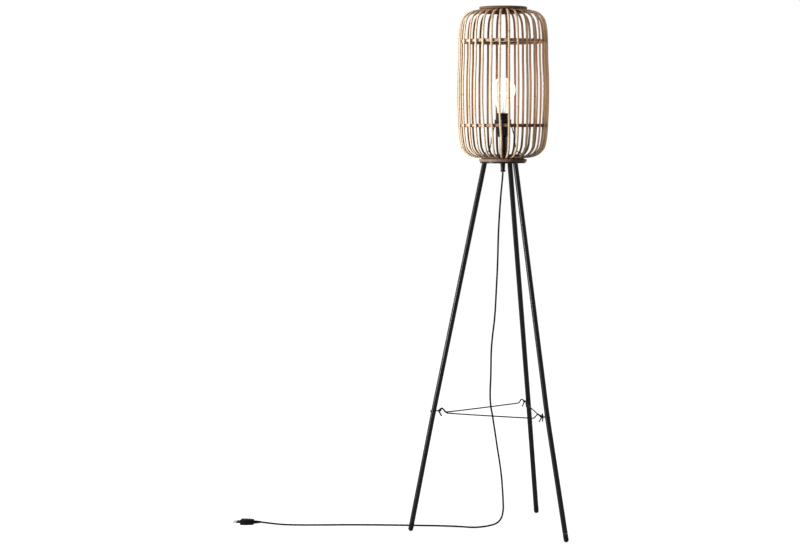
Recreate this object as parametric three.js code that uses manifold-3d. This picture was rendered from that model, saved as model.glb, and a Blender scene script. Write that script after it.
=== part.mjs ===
// A floor lamp: a cage shade of thin bent slats on a slim black stand with three legs.
// Lengths are in millimetres and +Z is up. The floor is z = 0.

import * as THREE from "three";
import { mergeVertices } from "three/addons/utils/BufferGeometryUtils.js";
import Module from "manifold-3d";

const wasm = await Module();
wasm.setup();

// Whole lamp
const total_height = 1297.9;
const shade_height = 381;
const fit_gap = 0.3; // between pieces that touch
const cut_overrun = 4; // how far a cutting shape runs past what it cuts
const ring_sides = 48;
const turned_sides = 24;
const rod_sides = 12;
const wire_sides = 6;

// Shade: slats, the two end rings with their liners, and the two hoops
const shade_radius = 113.9; // outside of the slats at the waist
const liner_bore_radius = 50;
const liner_wall = 3;
const rim_width = 6; // outside the liner
const rim_height = 6.4;
const liner_drop = 9.6; // how far the upper liner runs past its rim
const liner_rise = 11.3; // and the lower one
const rim_edge = 1.8;
const rib_rim_gap = 2.4; // between the slats' feet and the lower rim
const rib_count = 30;
const rib_width = 5.6;
const rib_thickness = 3.6;
const rib_start_turn = -2;
const rib_nudges = [
  0.6, 0.3, 0.5, 1.2, -0.6, 3, 2.3, 1.4, 0.7, -0.4, 0.7, 0.8, 0.6, 0.2, -1.5,
  1.4, 1, 0.5, 1.5, 3.4, 4.5, 2.8, 1.7, 1.5, 0.4, 0.2, -0.2, 0.8, 0.4, -0.5,
]; // degrees that each slat stands off its even place
const rib_foot_nudges = [
  -2, 0, 0, 0, 0, 0, 0, 0, 0, 0, 0, 0, 0, 0, 0,
  0, 0, 0, 0, 0, 0, 1, 2, 1.6, 1.8, 0.2, 0, 0.5, 1.6, 0.5,
]; // degrees more at its foot
const nudge_start_shares = [
  0.36, 0.36, 0.36, 0.36, 0.36, 0.36, 0.36, 0.36, 0.36, 0.36, 0.36, 0.36, 0.36, 0.36, 0.36,
  0.36, 0.36, 0.36, 0.36, 0.36, 0.36, 0.36, 0.36, 0.36, 0.36, 0.36, 0.36, 0.15, 0.15, 0.15,
]; // of the slats' height, where the foot's nudge starts
const nudge_full_share = 0.28; // of that
const rib_reach_shares = [
  0, 0.373, 0.525, 0.653, 0.81, 0.896, 0.946, 0.962, 1, 0.997, 0.968, 0.943, 0.897, 0.832, 0.723, 0.559,
  0.267, 0,
];
const rib_rise_shares = [
  1, 0.992, 0.983, 0.97, 0.939, 0.892, 0.81, 0.67, 0.528, 0.368, 0.238, 0.167, 0.111, 0.069, 0.043, 0.021,
  0.004, 0,
];
const hoop_thickness = 8;
const hoop_sides = 8;
const upper_hoop_rise_share = 0.786; // of the slats' height
const lower_hoop_rise_share = 0.2203;

// Head: the black plate, its studs, the stem tube and the cord grip
const plate_inset = 2.5; // from the rim's edge
const plate_thickness = 3.6;
const plate_edge = 0.6;
const stud_radius = 2.7;
const stud_length = 12;
const stem_length = 59.8;
const stem_bore_radius = 3.6;
const stem_spigot_wall = 1.4;
const stem_spigot_length = 7;
const stem_shoulder = 3.2; // outside the spigot
const grip_spigot_radius = 4.9;
const grip_spigot_length = 10;
const grip_flange_width = 2; // outside the spigot
const grip_flange_height = 1.6;
const grip_radius = 6.2;
const grip_waist_depth = 0.9;
const grip_length = 21.5;
const grip_collar_height = 3.6;

// Bulb
const glass_height = 90.3;
const bulb_radius = 31;
const bulb_wall = 0.9;
const bulb_cap_radius = 13.1;
const bulb_thread_depth = 0.7;
const bulb_thread_pitch = 3.62;
const bulb_thread_turns = 4;
const bulb_skirt_height = 3;
const bulb_foot_radius = 6;
const bulb_foot_height = 3.4;
const bulb_contact_radius = 4.6;
const bulb_contact_height = 1.8;
const bulb_neck_reach_shares = [0, 0.039, 0.162, 0.441, 0.777, 0.955, 1]; // from the neck to the widest
const bulb_neck_rise_shares = [0, 0.091, 0.206, 0.343, 0.48, 0.583, 0.657];
const bulb_dome_reach_shares = [0.9645, 0.855, 0.66, 0.387, 0];
const bulb_dome_rise_shares = [0.754, 0.84, 0.92, 0.975, 1];

// Lamp holder, round the bulb's cap
const dome_height = 26;
const skirt_height = 33.1;
const thread_clearance = 0.6;
const insert_wall = 1.3;
const insert_base = 4.5;
const insert_post_radius = 3;
const insert_post_height = 2.6;
const holder_wall = 2.3;
const dome_wall = 1.6;
const dome_neck_step = 0.4; // outside the stem
const dome_reach_shares = [0, 0.35, 0.62, 0.88, 1];
const dome_rise_shares = [0, 0.09, 0.24, 0.58, 1];
const flange_width = 2.6; // outside the skirt
const flange_height = 3;
const ring_nut_wall = 2.9;
const ring_nut_height = 12;
const ring_nut_flutes = 24;
const ring_nut_flute_depth = 0.5;

// Wire spider that carries the shade on the holder
const washer_margin = 2.2; // outside the ring nut
const washer_thickness = 2;
const spider_wire_radius = 1.25;
const spider_arms = 3;
const spider_start_turn = 50;
const spider_reach_shares = [
  0, 0.113, 0.217, 0.321, 0.385, 0.41, 0.479, 0.563, 0.714, 0.866, 0.945, 0.985, 1, 1,
];
const spider_rise_shares = [
  1, 0.92, 0.798, 0.667, 0.54, 0.391, 0.276, 0.153, 0.085, 0.06, 0.053, 0.042, 0.02, 0,
];

// Filament and its glass mount
const lead_radius = 0.6;
const filament_radius = 0.8;
const filament_reach = 12;
const filament_height_share = 0.6;
const mount_radius = 5.5;
const mount_tip_radius = 2;
const mount_height_share = 0.3;

// Legs, feet, eye bolts and the three bracing wires
const leg_diameter = 12.6;
const leg_inset = 10.5; // from the plate's edge to the leg's middle
const foot_radius = 234.9; // from the lamp's axis to the leg's middle, at the floor
const foot_length = 14;
const foot_flat_radius = 1.8;
const foot_spigot_radius = 3;
const foot_spigot_length = 8;
const brace_radius = 1.6;
const hook_gap = 1; // between the two hooks that share an eye
const hook_length = 21;
const hook_rise = 8.2;
const hook_reach_shares = [0.33, 0.2, 0.07, -0.02, -0.03, 0.01, 0.12, 0.27, 0.4, 0.5, 0.6, 0.7];
const hook_rise_shares = [-1.54, -1, -0.44, -0.11, 0, 0.15, 0.35, 0.57, 0.71, 0.67, 0.5, 0.2];
const run_reach_shares = [0.8, 0.9, 1.05]; // where the straight run starts
const run_rise_shares = [-0.11, -0.35, -0.45]; // before the drop of each end
const eye_clearance = 0.2; // beside the hooks
const eye_wire_radius = 1.3;
const bolt_head_radius = 2.6;
const bolt_head_height = 1.3;
const legs = [
  { name: "back", turn: 88.4, foot_turn: 88.5, foot_share: 1.01, bow_share: 0.19 },
  { name: "left", turn: 210, foot_turn: 212.1, foot_share: 0.986, bow_share: 0.18 },
  { name: "right", turn: 332.1, foot_turn: 331.5, foot_share: 1.004, bow_share: -0.65 },
];
const braces = [
  { from: "left", to: "back", drop_shares: [1.4, 0.75] },
  { from: "left", to: "right", drop_shares: [1.15, 1.15] },
  { from: "back", to: "right", drop_shares: [1.2, 1.2] },
];
const eye_heights = { back: 302, left: 299.3, right: 296 };
const eye_reaches = { back: 22, left: 13.5, right: 18.5 }; // from the leg's middle to the middle of the eye

// Cord and plug. The route is a hand-chosen list of points, from the grip to the plug.
const cord_radius = 2.2;
const cord_sides = 8;
const cord_steps = 78;
const cord_route = [
  [-5.6, -57.1, 890.9], [-5.9, -57.2, 882], [-7.6, -57.8, 862], [-10.7, -59, 825], [-13, -59.8, 790],
  [-15.6, -60.8, 735], [-17.3, -61.5, 665], [-20.3, -62.6, 595], [-24.1, -64, 527], [-28.6, -65.7, 485],
  [-31.4, -66.7, 450], [-32.3, -67.1, 410], [-32.7, -67.2, 380], [-34, -67.7, 348], [-33.3, -67.4, 315],
  [-28, -65.4, 280], [-18.1, -61.7, 210], [-8.3, -58.1, 140], [-5.2, -56.9, 102], [-3.3, -56.2, 66],
  [-3.7, -56.3, 42], [-8.9, -57.2, 24], [-19.3, -60.1, 12.4], [-35.6, -65.1, 6.2], [-54.2, -75.3, 3.2],
  [-74.4, -87.1, 2.5], [-96.5, -87.9, 2.4], [-121.3, -90.2, 2.4], [-160.5, -99.5, 2.4], [-216.9, -117.2, 2.4],
  [-293.5, -143.4, 2.4], [-369.2, -172.3, 2.4], [-436.6, -203.3, 2.4], [-493.8, -227.3, 2.4],
  [-532.3, -235.8, 2.4], [-560.6, -240, 4], [-584.4, -247.8, 6.8],
];
const plug_length = 34;
const plug_width = 26;
const plug_tail_width = 12;
const plug_height = 13.6;
const plug_edge = 1.5;
const plug_relief_length = 18;
const plug_relief_radius = 4.6;
const plug_relief_tip_radius = 3.1;
const pin_radius = 2;
const pin_length = 19;
const pin_spacing = 18.6;
const plug_reach_shares = [0, 0.28, 0.52, 0.8, 1];
const plug_width_shares = [0, 0.5, 0.95, 1, 0.86];

// Places that follow from the sizes
const radians = (degrees) => THREE.MathUtils.degToRad(degrees);
const up = new THREE.Vector3(0, 0, 1);
const polar = (turn, radius, height) =>
  new THREE.Vector3(radius * Math.cos(radians(turn)), radius * Math.sin(radians(turn)), height);
const leg_radius = leg_diameter / 2;
const sole_height = Math.sqrt(leg_radius ** 2 - foot_flat_radius ** 2);
const lower_ring_bottom = total_height - shade_height;
const plate_top = lower_ring_bottom - fit_gap;
const head_height = plate_top - plate_thickness;
const liner_radius = liner_bore_radius + liner_wall;
const liner_height = rim_height + liner_drop;
const lower_liner_height = rim_height + liner_rise;
const rim_radius = liner_radius + rim_width;
const plate_radius = rim_radius - plate_inset;
const leg_top_radius = plate_radius - leg_inset;
const rib_root = liner_radius + fit_gap;
const rib_top = total_height - rim_height - fit_gap;
const rib_bottom = lower_ring_bottom + rim_height + rib_rim_gap;
for (const leg of legs) {
  leg.top = polar(leg.turn, leg_top_radius, head_height);
  leg.foot = polar(leg.foot_turn, foot_radius * leg.foot_share, sole_height);
  const down_share = (head_height - eye_heights[leg.name]) / (head_height - sole_height);
  const straight = leg.top.clone().lerp(leg.foot, down_share);
  leg.out = new THREE.Vector3(straight.x, straight.y, 0).normalize();
  leg.knee = straight.addScaledVector(leg.out, leg.bow_share * leg_diameter);
  leg.upper = leg.top.clone().sub(leg.knee).normalize();
  leg.lower = leg.knee.clone().sub(leg.foot).normalize();
  leg.eye = leg.knee.clone().addScaledVector(leg.out, -eye_reaches[leg.name]);
}
const [back, left, right] = legs;
const axis_x = -(left.foot.x + right.foot.x) / 2;
const axis_y = -(back.foot.y + Math.min(left.foot.y, right.foot.y)) / 2;

// The lamp, and the group that stands on the lamp's own axis
const lamp = new THREE.Group();
const stand = new THREE.Group();
stand.position.set(axis_x, axis_y, 0);
lamp.add(stand);

const black_paint = { color: 0x1c1c1d, roughness: 0.42, metalness: 0.1 };
const black_plastic = { color: 0x161617, roughness: 0.5, metalness: 0 };
const dark_steel = { color: 0x2b2c2e, roughness: 0.35, metalness: 0.9 };
const brass = { color: 0xb58a45, roughness: 0.3, metalness: 1 };
const nickel = { color: 0xb9b6ae, roughness: 0.25, metalness: 1 };
const pale_slat = { color: 0xd9b98c, roughness: 0.55, metalness: 0 };
const brown_ring = { color: 0x4f3b2e, roughness: 0.6, metalness: 0 };
const lit_glass = { color: 0xfff4dc, roughness: 0.15, metalness: 0 };

function put(name, geometry, look, parent = stand) {
  const mesh = new THREE.Mesh(geometry, new THREE.MeshStandardMaterial(look));
  mesh.name = name;
  parent.add(mesh);
  return mesh;
}

// A piece turned about +Z from [radius, height] pairs, anticlockwise with the radius to the right
function turned(outline, sides = turned_sides) {
  const points = outline.map(([radius, height]) => new THREE.Vector2(radius, height));
  if (points[0].x > 0) points.push(points[0].clone());
  return new THREE.LatheGeometry(points, sides).rotateX(Math.PI / 2);
}

// A path with one ring of the tube at each of its points
class Route extends THREE.Curve {
  constructor(points) {
    super();
    this.points = points;
  }
  getUtoTmapping(u) {
    return u;
  }
  getPoint(t, target = new THREE.Vector3()) {
    const last = this.points.length - 1;
    const at = Math.min(Math.floor(t * last), last - 1);
    return target.lerpVectors(this.points[at], this.points[at + 1], t * last - at);
  }
  getTangent(t, target = new THREE.Vector3()) {
    const last = this.points.length - 1;
    const at = Math.round(t * last);
    const ahead = this.points[Math.min(at + 1, last)].clone().sub(this.points[at]).normalize();
    const behind = this.points[at].clone().sub(this.points[Math.max(at - 1, 0)]).normalize();
    return target.copy(ahead).add(behind).normalize();
  }
}

function circle(radius, sides) {
  const points = [];
  for (let side = 0; side < sides; side += 1) {
    const turn = (side / sides) * 2 * Math.PI;
    points.push(new THREE.Vector2(radius * Math.cos(turn), radius * Math.sin(turn)));
  }
  return new THREE.Shape(points);
}

function tube(points, radius, sides) {
  return new THREE.ExtrudeGeometry(circle(radius, sides), {
    steps: points.length - 1,
    bevelEnabled: false,
    extrudePath: new Route(points),
  });
}

const rod = (from, to, radius, sides = rod_sides) => tube([from, to], radius, sides);

// Solids that can be joined and cut, and back again
function solid(geometry) {
  const plain = geometry.clone();
  plain.deleteAttribute("normal");
  plain.deleteAttribute("uv");
  const merged = mergeVertices(plain);
  const corners = [];
  for (let at = 0; at < merged.index.count; at += 3) {
    const [a, b, c] = [0, 1, 2].map((step) => merged.index.getX(at + step));
    if (a !== b && b !== c && c !== a) corners.push(a, b, c);
  }
  const vertProperties = merged.attributes.position.array;
  return new wasm.Manifold(new wasm.Mesh({ numProp: 3, vertProperties, triVerts: new Uint32Array(corners) }));
}

function finished(joined) {
  const mesh = joined.getMesh();
  const geometry = new THREE.BufferGeometry();
  geometry.setAttribute("position", new THREE.BufferAttribute(mesh.vertProperties, 3));
  geometry.setIndex(new THREE.BufferAttribute(mesh.triVerts, 1));
  geometry.computeVertexNormals();
  return geometry;
}

// A block whose named face lies at a height, used to cut a piece level
function level_block(middle, size, height, above) {
  const block = new THREE.BoxGeometry(size, size, size);
  return block.translate(middle.x, middle.y, above ? height + size / 2 : height - size / 2);
}

// End rings: a rim that the slats meet, and a liner that their ends butt
const ring_outline = (length) => [
  [liner_bore_radius, total_height],
  [liner_bore_radius, total_height - length],
  [liner_radius, total_height - length],
  [liner_radius, total_height - rim_height],
  [rim_radius - rim_edge, total_height - rim_height],
  [rim_radius, total_height - rim_height + rim_edge],
  [rim_radius, total_height - rim_edge],
  [rim_radius - rim_edge, total_height],
];
put("shade_top_ring", turned(ring_outline(liner_height), ring_sides), brown_ring);
const lower_outline = ring_outline(lower_liner_height)
  .map(([radius, height]) => [radius, lower_ring_bottom + total_height - height])
  .reverse();
put("shade_bottom_ring", turned(lower_outline, ring_sides), brown_ring);

// Slats: one strip bent over the hoops, repeated round the axis
const rib_line = rib_reach_shares.map(
  (share, at) =>
    new THREE.Vector2(
      rib_root + (shade_radius - rib_root) * share,
      rib_bottom + (rib_top - rib_bottom) * rib_rise_shares[at],
    ),
);
const rib_last = rib_line.length - 1;
const rib_inside = rib_line.map((point, at) => {
  if (at === 0) return new THREE.Vector2(point.x, point.y - rib_thickness);
  if (at === rib_last) return new THREE.Vector2(point.x, point.y + rib_thickness);
  const along = rib_line[at + 1].clone().sub(rib_line[at - 1]).normalize();
  return new THREE.Vector2(point.x + along.y * rib_thickness, point.y - along.x * rib_thickness);
});
const rib_outline = new THREE.Shape([...rib_line, ...rib_inside.slice().reverse()]);
for (let count = 0; count < rib_count; count += 1) {
  const strip = new THREE.ExtrudeGeometry(rib_outline, { depth: rib_width, bevelEnabled: false, steps: 1 });
  strip.rotateX(Math.PI / 2).translate(0, rib_width / 2, 0);
  const spots = strip.attributes.position;
  const spot = new THREE.Vector3();
  const nudge_start = nudge_start_shares[count % nudge_start_shares.length];
  for (let at = 0; at < spots.count; at += 1) {
    spot.fromBufferAttribute(spots, at);
    const rise_share = (spot.z - rib_bottom) / (rib_top - rib_bottom);
    const foot_share = 1 - THREE.MathUtils.smoothstep(rise_share, nudge_start * nudge_full_share, nudge_start);
    spot.applyAxisAngle(up, radians(rib_foot_nudges[count % rib_foot_nudges.length] * foot_share));
    spots.setXYZ(at, spot.x, spot.y, spot.z);
  }
  const name = `rib_${String(count + 1).padStart(2, "0")}`;
  const turn = rib_start_turn + (count * 360) / rib_count + rib_nudges[count % rib_nudges.length];
  put(name, strip, pale_slat).rotation.z = radians(turn);
}

// Hoops, just inside the slats
function rib_inside_radius(height) {
  const below = rib_inside.findIndex((point) => point.y <= height);
  const [low, high] = [rib_inside[below], rib_inside[below - 1]];
  return low.x + ((high.x - low.x) * (height - low.y)) / (high.y - low.y);
}
function hoop(name, rise_share) {
  const height = rib_bottom + (rib_top - rib_bottom) * rise_share;
  const reach = rib_inside_radius(height) - fit_gap - hoop_thickness / 2;
  const round = new THREE.TorusGeometry(reach, hoop_thickness / 2, hoop_sides, ring_sides);
  put(name, round.translate(0, 0, height), pale_slat);
}
hoop("upper_hoop", upper_hoop_rise_share);
hoop("lower_hoop", lower_hoop_rise_share);

// Plate with a hole for the grip's spigot, and a stud for each leg
const plate_hole_radius = grip_spigot_radius + fit_gap;
const plate_outline = [
  [plate_hole_radius, head_height],
  [plate_radius - plate_edge, head_height],
  [plate_radius, head_height + plate_edge],
  [plate_radius, plate_top - plate_edge],
  [plate_radius - plate_edge, plate_top],
  [plate_hole_radius, plate_top],
];
let plate = solid(turned(plate_outline, ring_sides));
for (const leg of legs) {
  const stud_top = leg.top.clone().addScaledVector(leg.upper, plate_thickness / 2);
  const stud_end = leg.top.clone().addScaledVector(leg.upper, -stud_length);
  plate = plate.add(solid(rod(stud_top, stud_end, stud_radius)));
}
put("top_plate", finished(plate), black_paint);

// Stem tube, with a counterbore for the grip and a spigot for the holder
const stem_bottom = plate_top + fit_gap;
const stem_top = stem_bottom + stem_length;
const stem_spigot_radius = stem_bore_radius + stem_spigot_wall;
const stem_radius = stem_spigot_radius + stem_shoulder;
const grip_spigot_top = head_height - fit_gap + grip_spigot_length;
const stem_counterbore_top = grip_spigot_top + fit_gap;
put(
  "stem_tube",
  turned([
    [plate_hole_radius, stem_bottom],
    [stem_radius, stem_bottom],
    [stem_radius, stem_top],
    [stem_spigot_radius, stem_top],
    [stem_spigot_radius, stem_top + stem_spigot_length],
    [stem_bore_radius, stem_top + stem_spigot_length],
    [stem_bore_radius, stem_counterbore_top],
    [plate_hole_radius, stem_counterbore_top],
  ]),
  black_paint,
);

// Cord grip under the plate
const grip_top = head_height - fit_gap;
const grip_bottom = grip_top - grip_length;
const grip_waist_radius = grip_radius - grip_waist_depth;
const grip_flange_radius = grip_spigot_radius + grip_flange_width;
put(
  "cord_grip",
  turned([
    [0, grip_bottom],
    [grip_radius, grip_bottom],
    [grip_radius, grip_bottom + grip_collar_height / 2],
    [grip_waist_radius, grip_bottom + grip_collar_height],
    [grip_radius, grip_top - grip_flange_height],
    [grip_flange_radius, grip_top - grip_flange_height],
    [grip_flange_radius, grip_top],
    [grip_spigot_radius, grip_top],
    [grip_spigot_radius, grip_spigot_top],
    [0, grip_spigot_top],
  ]),
  black_plastic,
);

// Holder dome over the stem's spigot
const insert_bore_radius = bulb_cap_radius + thread_clearance;
const insert_radius = insert_bore_radius + insert_wall;
const holder_bore_radius = insert_radius + fit_gap;
const holder_radius = holder_bore_radius + holder_wall;
const dome_hole_radius = stem_spigot_radius + fit_gap;
const dome_neck_radius = stem_radius + dome_neck_step;
const dome_bottom = stem_top + fit_gap;
const dome_top = dome_bottom + dome_height;
const dome_line = dome_reach_shares.map((share, at) => [
  dome_neck_radius + (holder_radius - dome_neck_radius) * share,
  dome_bottom + dome_height * dome_rise_shares[at],
]);
const dome_inside = dome_line
  .map(([radius, height]) => [
    Math.max(radius - dome_wall, dome_hole_radius),
    Math.min(height + dome_wall, dome_top),
  ])
  .reverse();
put("holder_cap", turned([[dome_hole_radius, dome_bottom], ...dome_line, ...dome_inside]), black_plastic);

// Holder skirt with the flange that the spider rests on
const skirt_bottom = dome_top + fit_gap;
const holder_top = skirt_bottom + skirt_height;
const flange_top = skirt_bottom + flange_height;
const flange_radius = holder_radius + flange_width;
put(
  "holder_skirt",
  turned([
    [holder_bore_radius, skirt_bottom],
    [flange_radius, skirt_bottom],
    [flange_radius, flange_top],
    [holder_radius, flange_top],
    [holder_radius, holder_top],
    [holder_bore_radius, holder_top],
  ]),
  black_plastic,
);

// Spider: a washer on the flange and bent wire arms that stand on the lower liner
const washer_bottom = flange_top + fit_gap;
const washer_top = washer_bottom + washer_thickness;
const nut_bore_radius = holder_radius + fit_gap;
const ring_nut_radius = nut_bore_radius + ring_nut_wall;
const washer_radius = ring_nut_radius + washer_margin;
const washer_outline = [
  [nut_bore_radius, washer_bottom],
  [washer_radius, washer_bottom],
  [washer_radius, washer_top],
  [nut_bore_radius, washer_top],
];
let spider = solid(turned(washer_outline));
const arm_root_radius = washer_radius - spider_wire_radius;
const arm_root_height = (washer_bottom + washer_top) / 2;
const arm_tip_radius = (liner_bore_radius + liner_radius) / 2;
const arm_tip_height = lower_ring_bottom + lower_liner_height + fit_gap;
for (let count = 0; count < spider_arms; count += 1) {
  const turn = spider_start_turn + (count * 360) / spider_arms;
  const points = spider_reach_shares.map((share, at) =>
    polar(
      turn,
      arm_root_radius + (arm_tip_radius - arm_root_radius) * share,
      arm_tip_height + (arm_root_height - arm_tip_height) * spider_rise_shares[at],
    ),
  );
  spider = spider.add(solid(tube(points, spider_wire_radius, wire_sides)));
}
put("shade_spider", finished(spider), dark_steel);

// Fluted ring nut that clamps the spider
const nut_bottom = washer_top + fit_gap;
const nut_points = [];
for (let step = 0; step < ring_nut_flutes * 2; step += 1) {
  const turn = (step / (ring_nut_flutes * 2)) * 2 * Math.PI;
  const reach = step % 2 ? ring_nut_radius - ring_nut_flute_depth : ring_nut_radius;
  nut_points.push(new THREE.Vector2(reach * Math.cos(turn), reach * Math.sin(turn)));
}
const nut_shape = new THREE.Shape(nut_points);
nut_shape.holes.push(new THREE.Path(circle(nut_bore_radius, turned_sides).getPoints()));
const nut = new THREE.ExtrudeGeometry(nut_shape, { depth: ring_nut_height, bevelEnabled: false, steps: 1 });
put("holder_ring_nut", nut.translate(0, 0, nut_bottom), black_plastic);

// Socket insert: base, threaded shell and the raised contact
const insert_bottom = skirt_bottom;
const insert_top = holder_top - holder_wall;
const insert_base_top = insert_bottom + insert_base;
const insert_post_top = insert_base_top + insert_post_height;
put(
  "holder_insert",
  turned([
    [0, insert_bottom],
    [insert_radius, insert_bottom],
    [insert_radius, insert_top],
    [insert_bore_radius, insert_top],
    [insert_bore_radius, insert_base_top],
    [insert_post_radius, insert_base_top],
    [insert_post_radius, insert_post_top],
    [0, insert_post_top],
  ]),
  brass,
);

// Bulb contact, threaded cap, glass and filament
const bulb_contact_bottom = insert_post_top + fit_gap;
const contact_edge = bulb_contact_height / 2;
const bulb_contact_top = bulb_contact_bottom + bulb_contact_height;
put(
  "bulb_contact",
  turned([
    [0, bulb_contact_bottom],
    [bulb_contact_radius - contact_edge, bulb_contact_bottom],
    [bulb_contact_radius, bulb_contact_bottom + contact_edge],
    [bulb_contact_radius, bulb_contact_top],
    [0, bulb_contact_top],
  ]),
  nickel,
);
const cap_base = bulb_contact_top + fit_gap;
const cap_line = [
  [0, cap_base],
  [bulb_foot_radius, cap_base],
  [bulb_cap_radius - bulb_thread_depth, cap_base + bulb_foot_height],
];
for (let turn = 0; turn < bulb_thread_turns; turn += 1) {
  const start = cap_base + bulb_foot_height + turn * bulb_thread_pitch;
  cap_line.push([bulb_cap_radius, start + bulb_thread_pitch / 2]);
  cap_line.push([bulb_cap_radius - bulb_thread_depth, start + bulb_thread_pitch]);
}
const bulb_cap_top = cap_base + bulb_foot_height + bulb_thread_turns * bulb_thread_pitch + bulb_skirt_height;
cap_line.push([bulb_cap_radius, bulb_cap_top - bulb_skirt_height / 2]);
cap_line.push([bulb_cap_radius, bulb_cap_top]);
cap_line.push([0, bulb_cap_top]);
put("bulb_cap", turned(cap_line), nickel);

const glass_bottom = bulb_cap_top + fit_gap;
const glass_reaches = [
  ...bulb_neck_reach_shares.map((share) => bulb_cap_radius + (bulb_radius - bulb_cap_radius) * share),
  ...bulb_dome_reach_shares.map((share) => bulb_radius * share),
];
const glass_rise_shares = [...bulb_neck_rise_shares, ...bulb_dome_rise_shares];
const glass_line = glass_reaches.map((reach, at) => [
  reach,
  glass_bottom + glass_height * glass_rise_shares[at],
]);
const glass_inside = glass_reaches
  .map((reach, at) => [
    Math.max(reach - bulb_wall, 0),
    glass_bottom + (glass_height - bulb_wall) * glass_rise_shares[at],
  ])
  .reverse();
put("bulb_glass", turned([...glass_line, ...glass_inside]), lit_glass);

const mount_bottom = glass_bottom;
const mount_top = glass_bottom + glass_height * mount_height_share;
const filament_height = glass_bottom + glass_height * filament_height_share;
const mount_outline = [
  [0, mount_bottom],
  [mount_radius, mount_bottom],
  [mount_tip_radius, (mount_bottom + mount_top) / 2],
  [mount_tip_radius, mount_top],
  [0, mount_top],
];
let filament = solid(turned(mount_outline, rod_sides));
const coil = [];
for (const side of [-1, 1]) {
  const foot = new THREE.Vector3((side * mount_tip_radius) / 2, 0, (mount_bottom + mount_top) / 2);
  const shoulder = new THREE.Vector3((side * mount_tip_radius) / 2, 0, mount_top);
  const tip = new THREE.Vector3(side * filament_reach, 0, filament_height);
  filament = filament.add(solid(tube([foot, shoulder, tip], lead_radius, wire_sides)));
  coil.push(tip);
}
filament = filament.add(solid(rod(coil[0], coil[1], filament_radius, wire_sides)));
put("filament", finished(filament), lit_glass);

// Legs: cut level under the plate, bored for stud and foot, and drilled for the eye bolt
const shank_radius = eye_wire_radius;
for (const leg of legs) {
  const start = leg.top.clone().addScaledVector(leg.upper, leg_diameter);
  const ankle = leg.foot.clone().addScaledVector(leg.lower, foot_length + fit_gap);
  let shaft = solid(tube([start, leg.knee, ankle], leg_radius, rod_sides));
  const size = leg_diameter * 4;
  shaft = shaft.subtract(solid(level_block(leg.top, size, head_height - fit_gap, true)));
  const bore_end = leg.top.clone().addScaledVector(leg.upper, -stud_length - fit_gap);
  shaft = shaft.subtract(solid(rod(start, bore_end, stud_radius + fit_gap)));
  const socket_end = ankle.clone().addScaledVector(leg.lower, foot_spigot_length + fit_gap);
  const socket_start = ankle.clone().addScaledVector(leg.lower, -cut_overrun);
  shaft = shaft.subtract(solid(rod(socket_start, socket_end, foot_spigot_radius + fit_gap)));
  const drill_start = leg.knee.clone().addScaledVector(leg.out, -leg_diameter);
  const drill_end = leg.knee.clone().addScaledVector(leg.out, leg_diameter);
  shaft = shaft.subtract(solid(rod(drill_start, drill_end, shank_radius + fit_gap, wire_sides)));
  put(`leg_${leg.name}`, finished(shaft), black_paint);
}

// Feet: round ends with a small flat on the floor and a spigot up the leg
for (const leg of legs) {
  const outline = [];
  const quarter_steps = 5;
  for (let step = 0; step <= quarter_steps; step += 1) {
    const turn = (step / quarter_steps) * (Math.PI / 2);
    outline.push([leg_radius * Math.sin(turn), -leg_radius * Math.cos(turn)]);
  }
  outline.push([leg_radius, foot_length]);
  outline.push([foot_spigot_radius, foot_length]);
  outline.push([foot_spigot_radius, foot_length + foot_spigot_length]);
  outline.push([0, foot_length + foot_spigot_length]);
  const turn = new THREE.Quaternion().setFromUnitVectors(up, leg.lower);
  const foot = turned(outline, rod_sides).applyQuaternion(turn).translate(leg.foot.x, leg.foot.y, leg.foot.z);
  const floor = solid(level_block(leg.foot, leg_diameter * 2, 0, false));
  put(`foot_${leg.name}`, finished(solid(foot).subtract(floor)), black_plastic);
}

// Eye bolts: a level ring, a shank through the leg and a head outside it
const hook_spread = brace_radius + hook_gap / 2;
const eye_radius = hook_spread + brace_radius + eye_clearance + eye_wire_radius;
for (const leg of legs) {
  const lean = leg.out.dot(leg.lower.clone().negate()) / leg.lower.z;
  const head_seat = leg_radius * Math.hypot(1, lean) + bolt_head_radius * Math.abs(lean) + fit_gap;
  const ring = new THREE.TorusGeometry(eye_radius, eye_wire_radius, wire_sides, rod_sides);
  ring.translate(leg.eye.x, leg.eye.y, leg.eye.z);
  const shank_start = leg.eye.clone().addScaledVector(leg.out, eye_radius);
  const shank_end = leg.knee.clone().addScaledVector(leg.out, head_seat + bolt_head_height / 2);
  const head_start = leg.knee.clone().addScaledVector(leg.out, head_seat);
  const head_end = head_start.clone().addScaledVector(leg.out, bolt_head_height);
  const bolt = solid(ring)
    .add(solid(rod(shank_start, shank_end, shank_radius, wire_sides)))
    .add(solid(rod(head_start, head_end, bolt_head_radius, wire_sides)));
  put(`eye_bolt_${leg.name}`, finished(bolt), dark_steel);
}

// Bracing wires: a straight run with a hump and a down-turned hook at each end
function brace(from, to, drop_shares) {
  const sideways = (leg, other) => {
    const across = new THREE.Vector3().crossVectors(up, leg.out);
    return across.multiplyScalar(Math.sign(across.dot(other.eye.clone().sub(leg.eye))) * hook_spread);
  };
  const start = from.eye.clone().add(sideways(from, to));
  const end = to.eye.clone().add(sideways(to, from));
  const along = end.clone().sub(start).normalize();
  const reach_shares = [...hook_reach_shares, ...run_reach_shares];
  const hook = (origin, direction, drop_share) => {
    const rise_shares = [...hook_rise_shares, ...run_rise_shares.map((share) => share * drop_share)];
    return reach_shares.map((share, at) =>
      origin
        .clone()
        .addScaledVector(along, direction * share * hook_length)
        .addScaledVector(up, rise_shares[at] * hook_rise),
    );
  };
  const points = [...hook(start, 1, drop_shares[0]), ...hook(end, -1, drop_shares[1]).reverse()];
  put(`brace_${from.name}_${to.name}`, tube(points, brace_radius, wire_sides), dark_steel);
}
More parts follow.
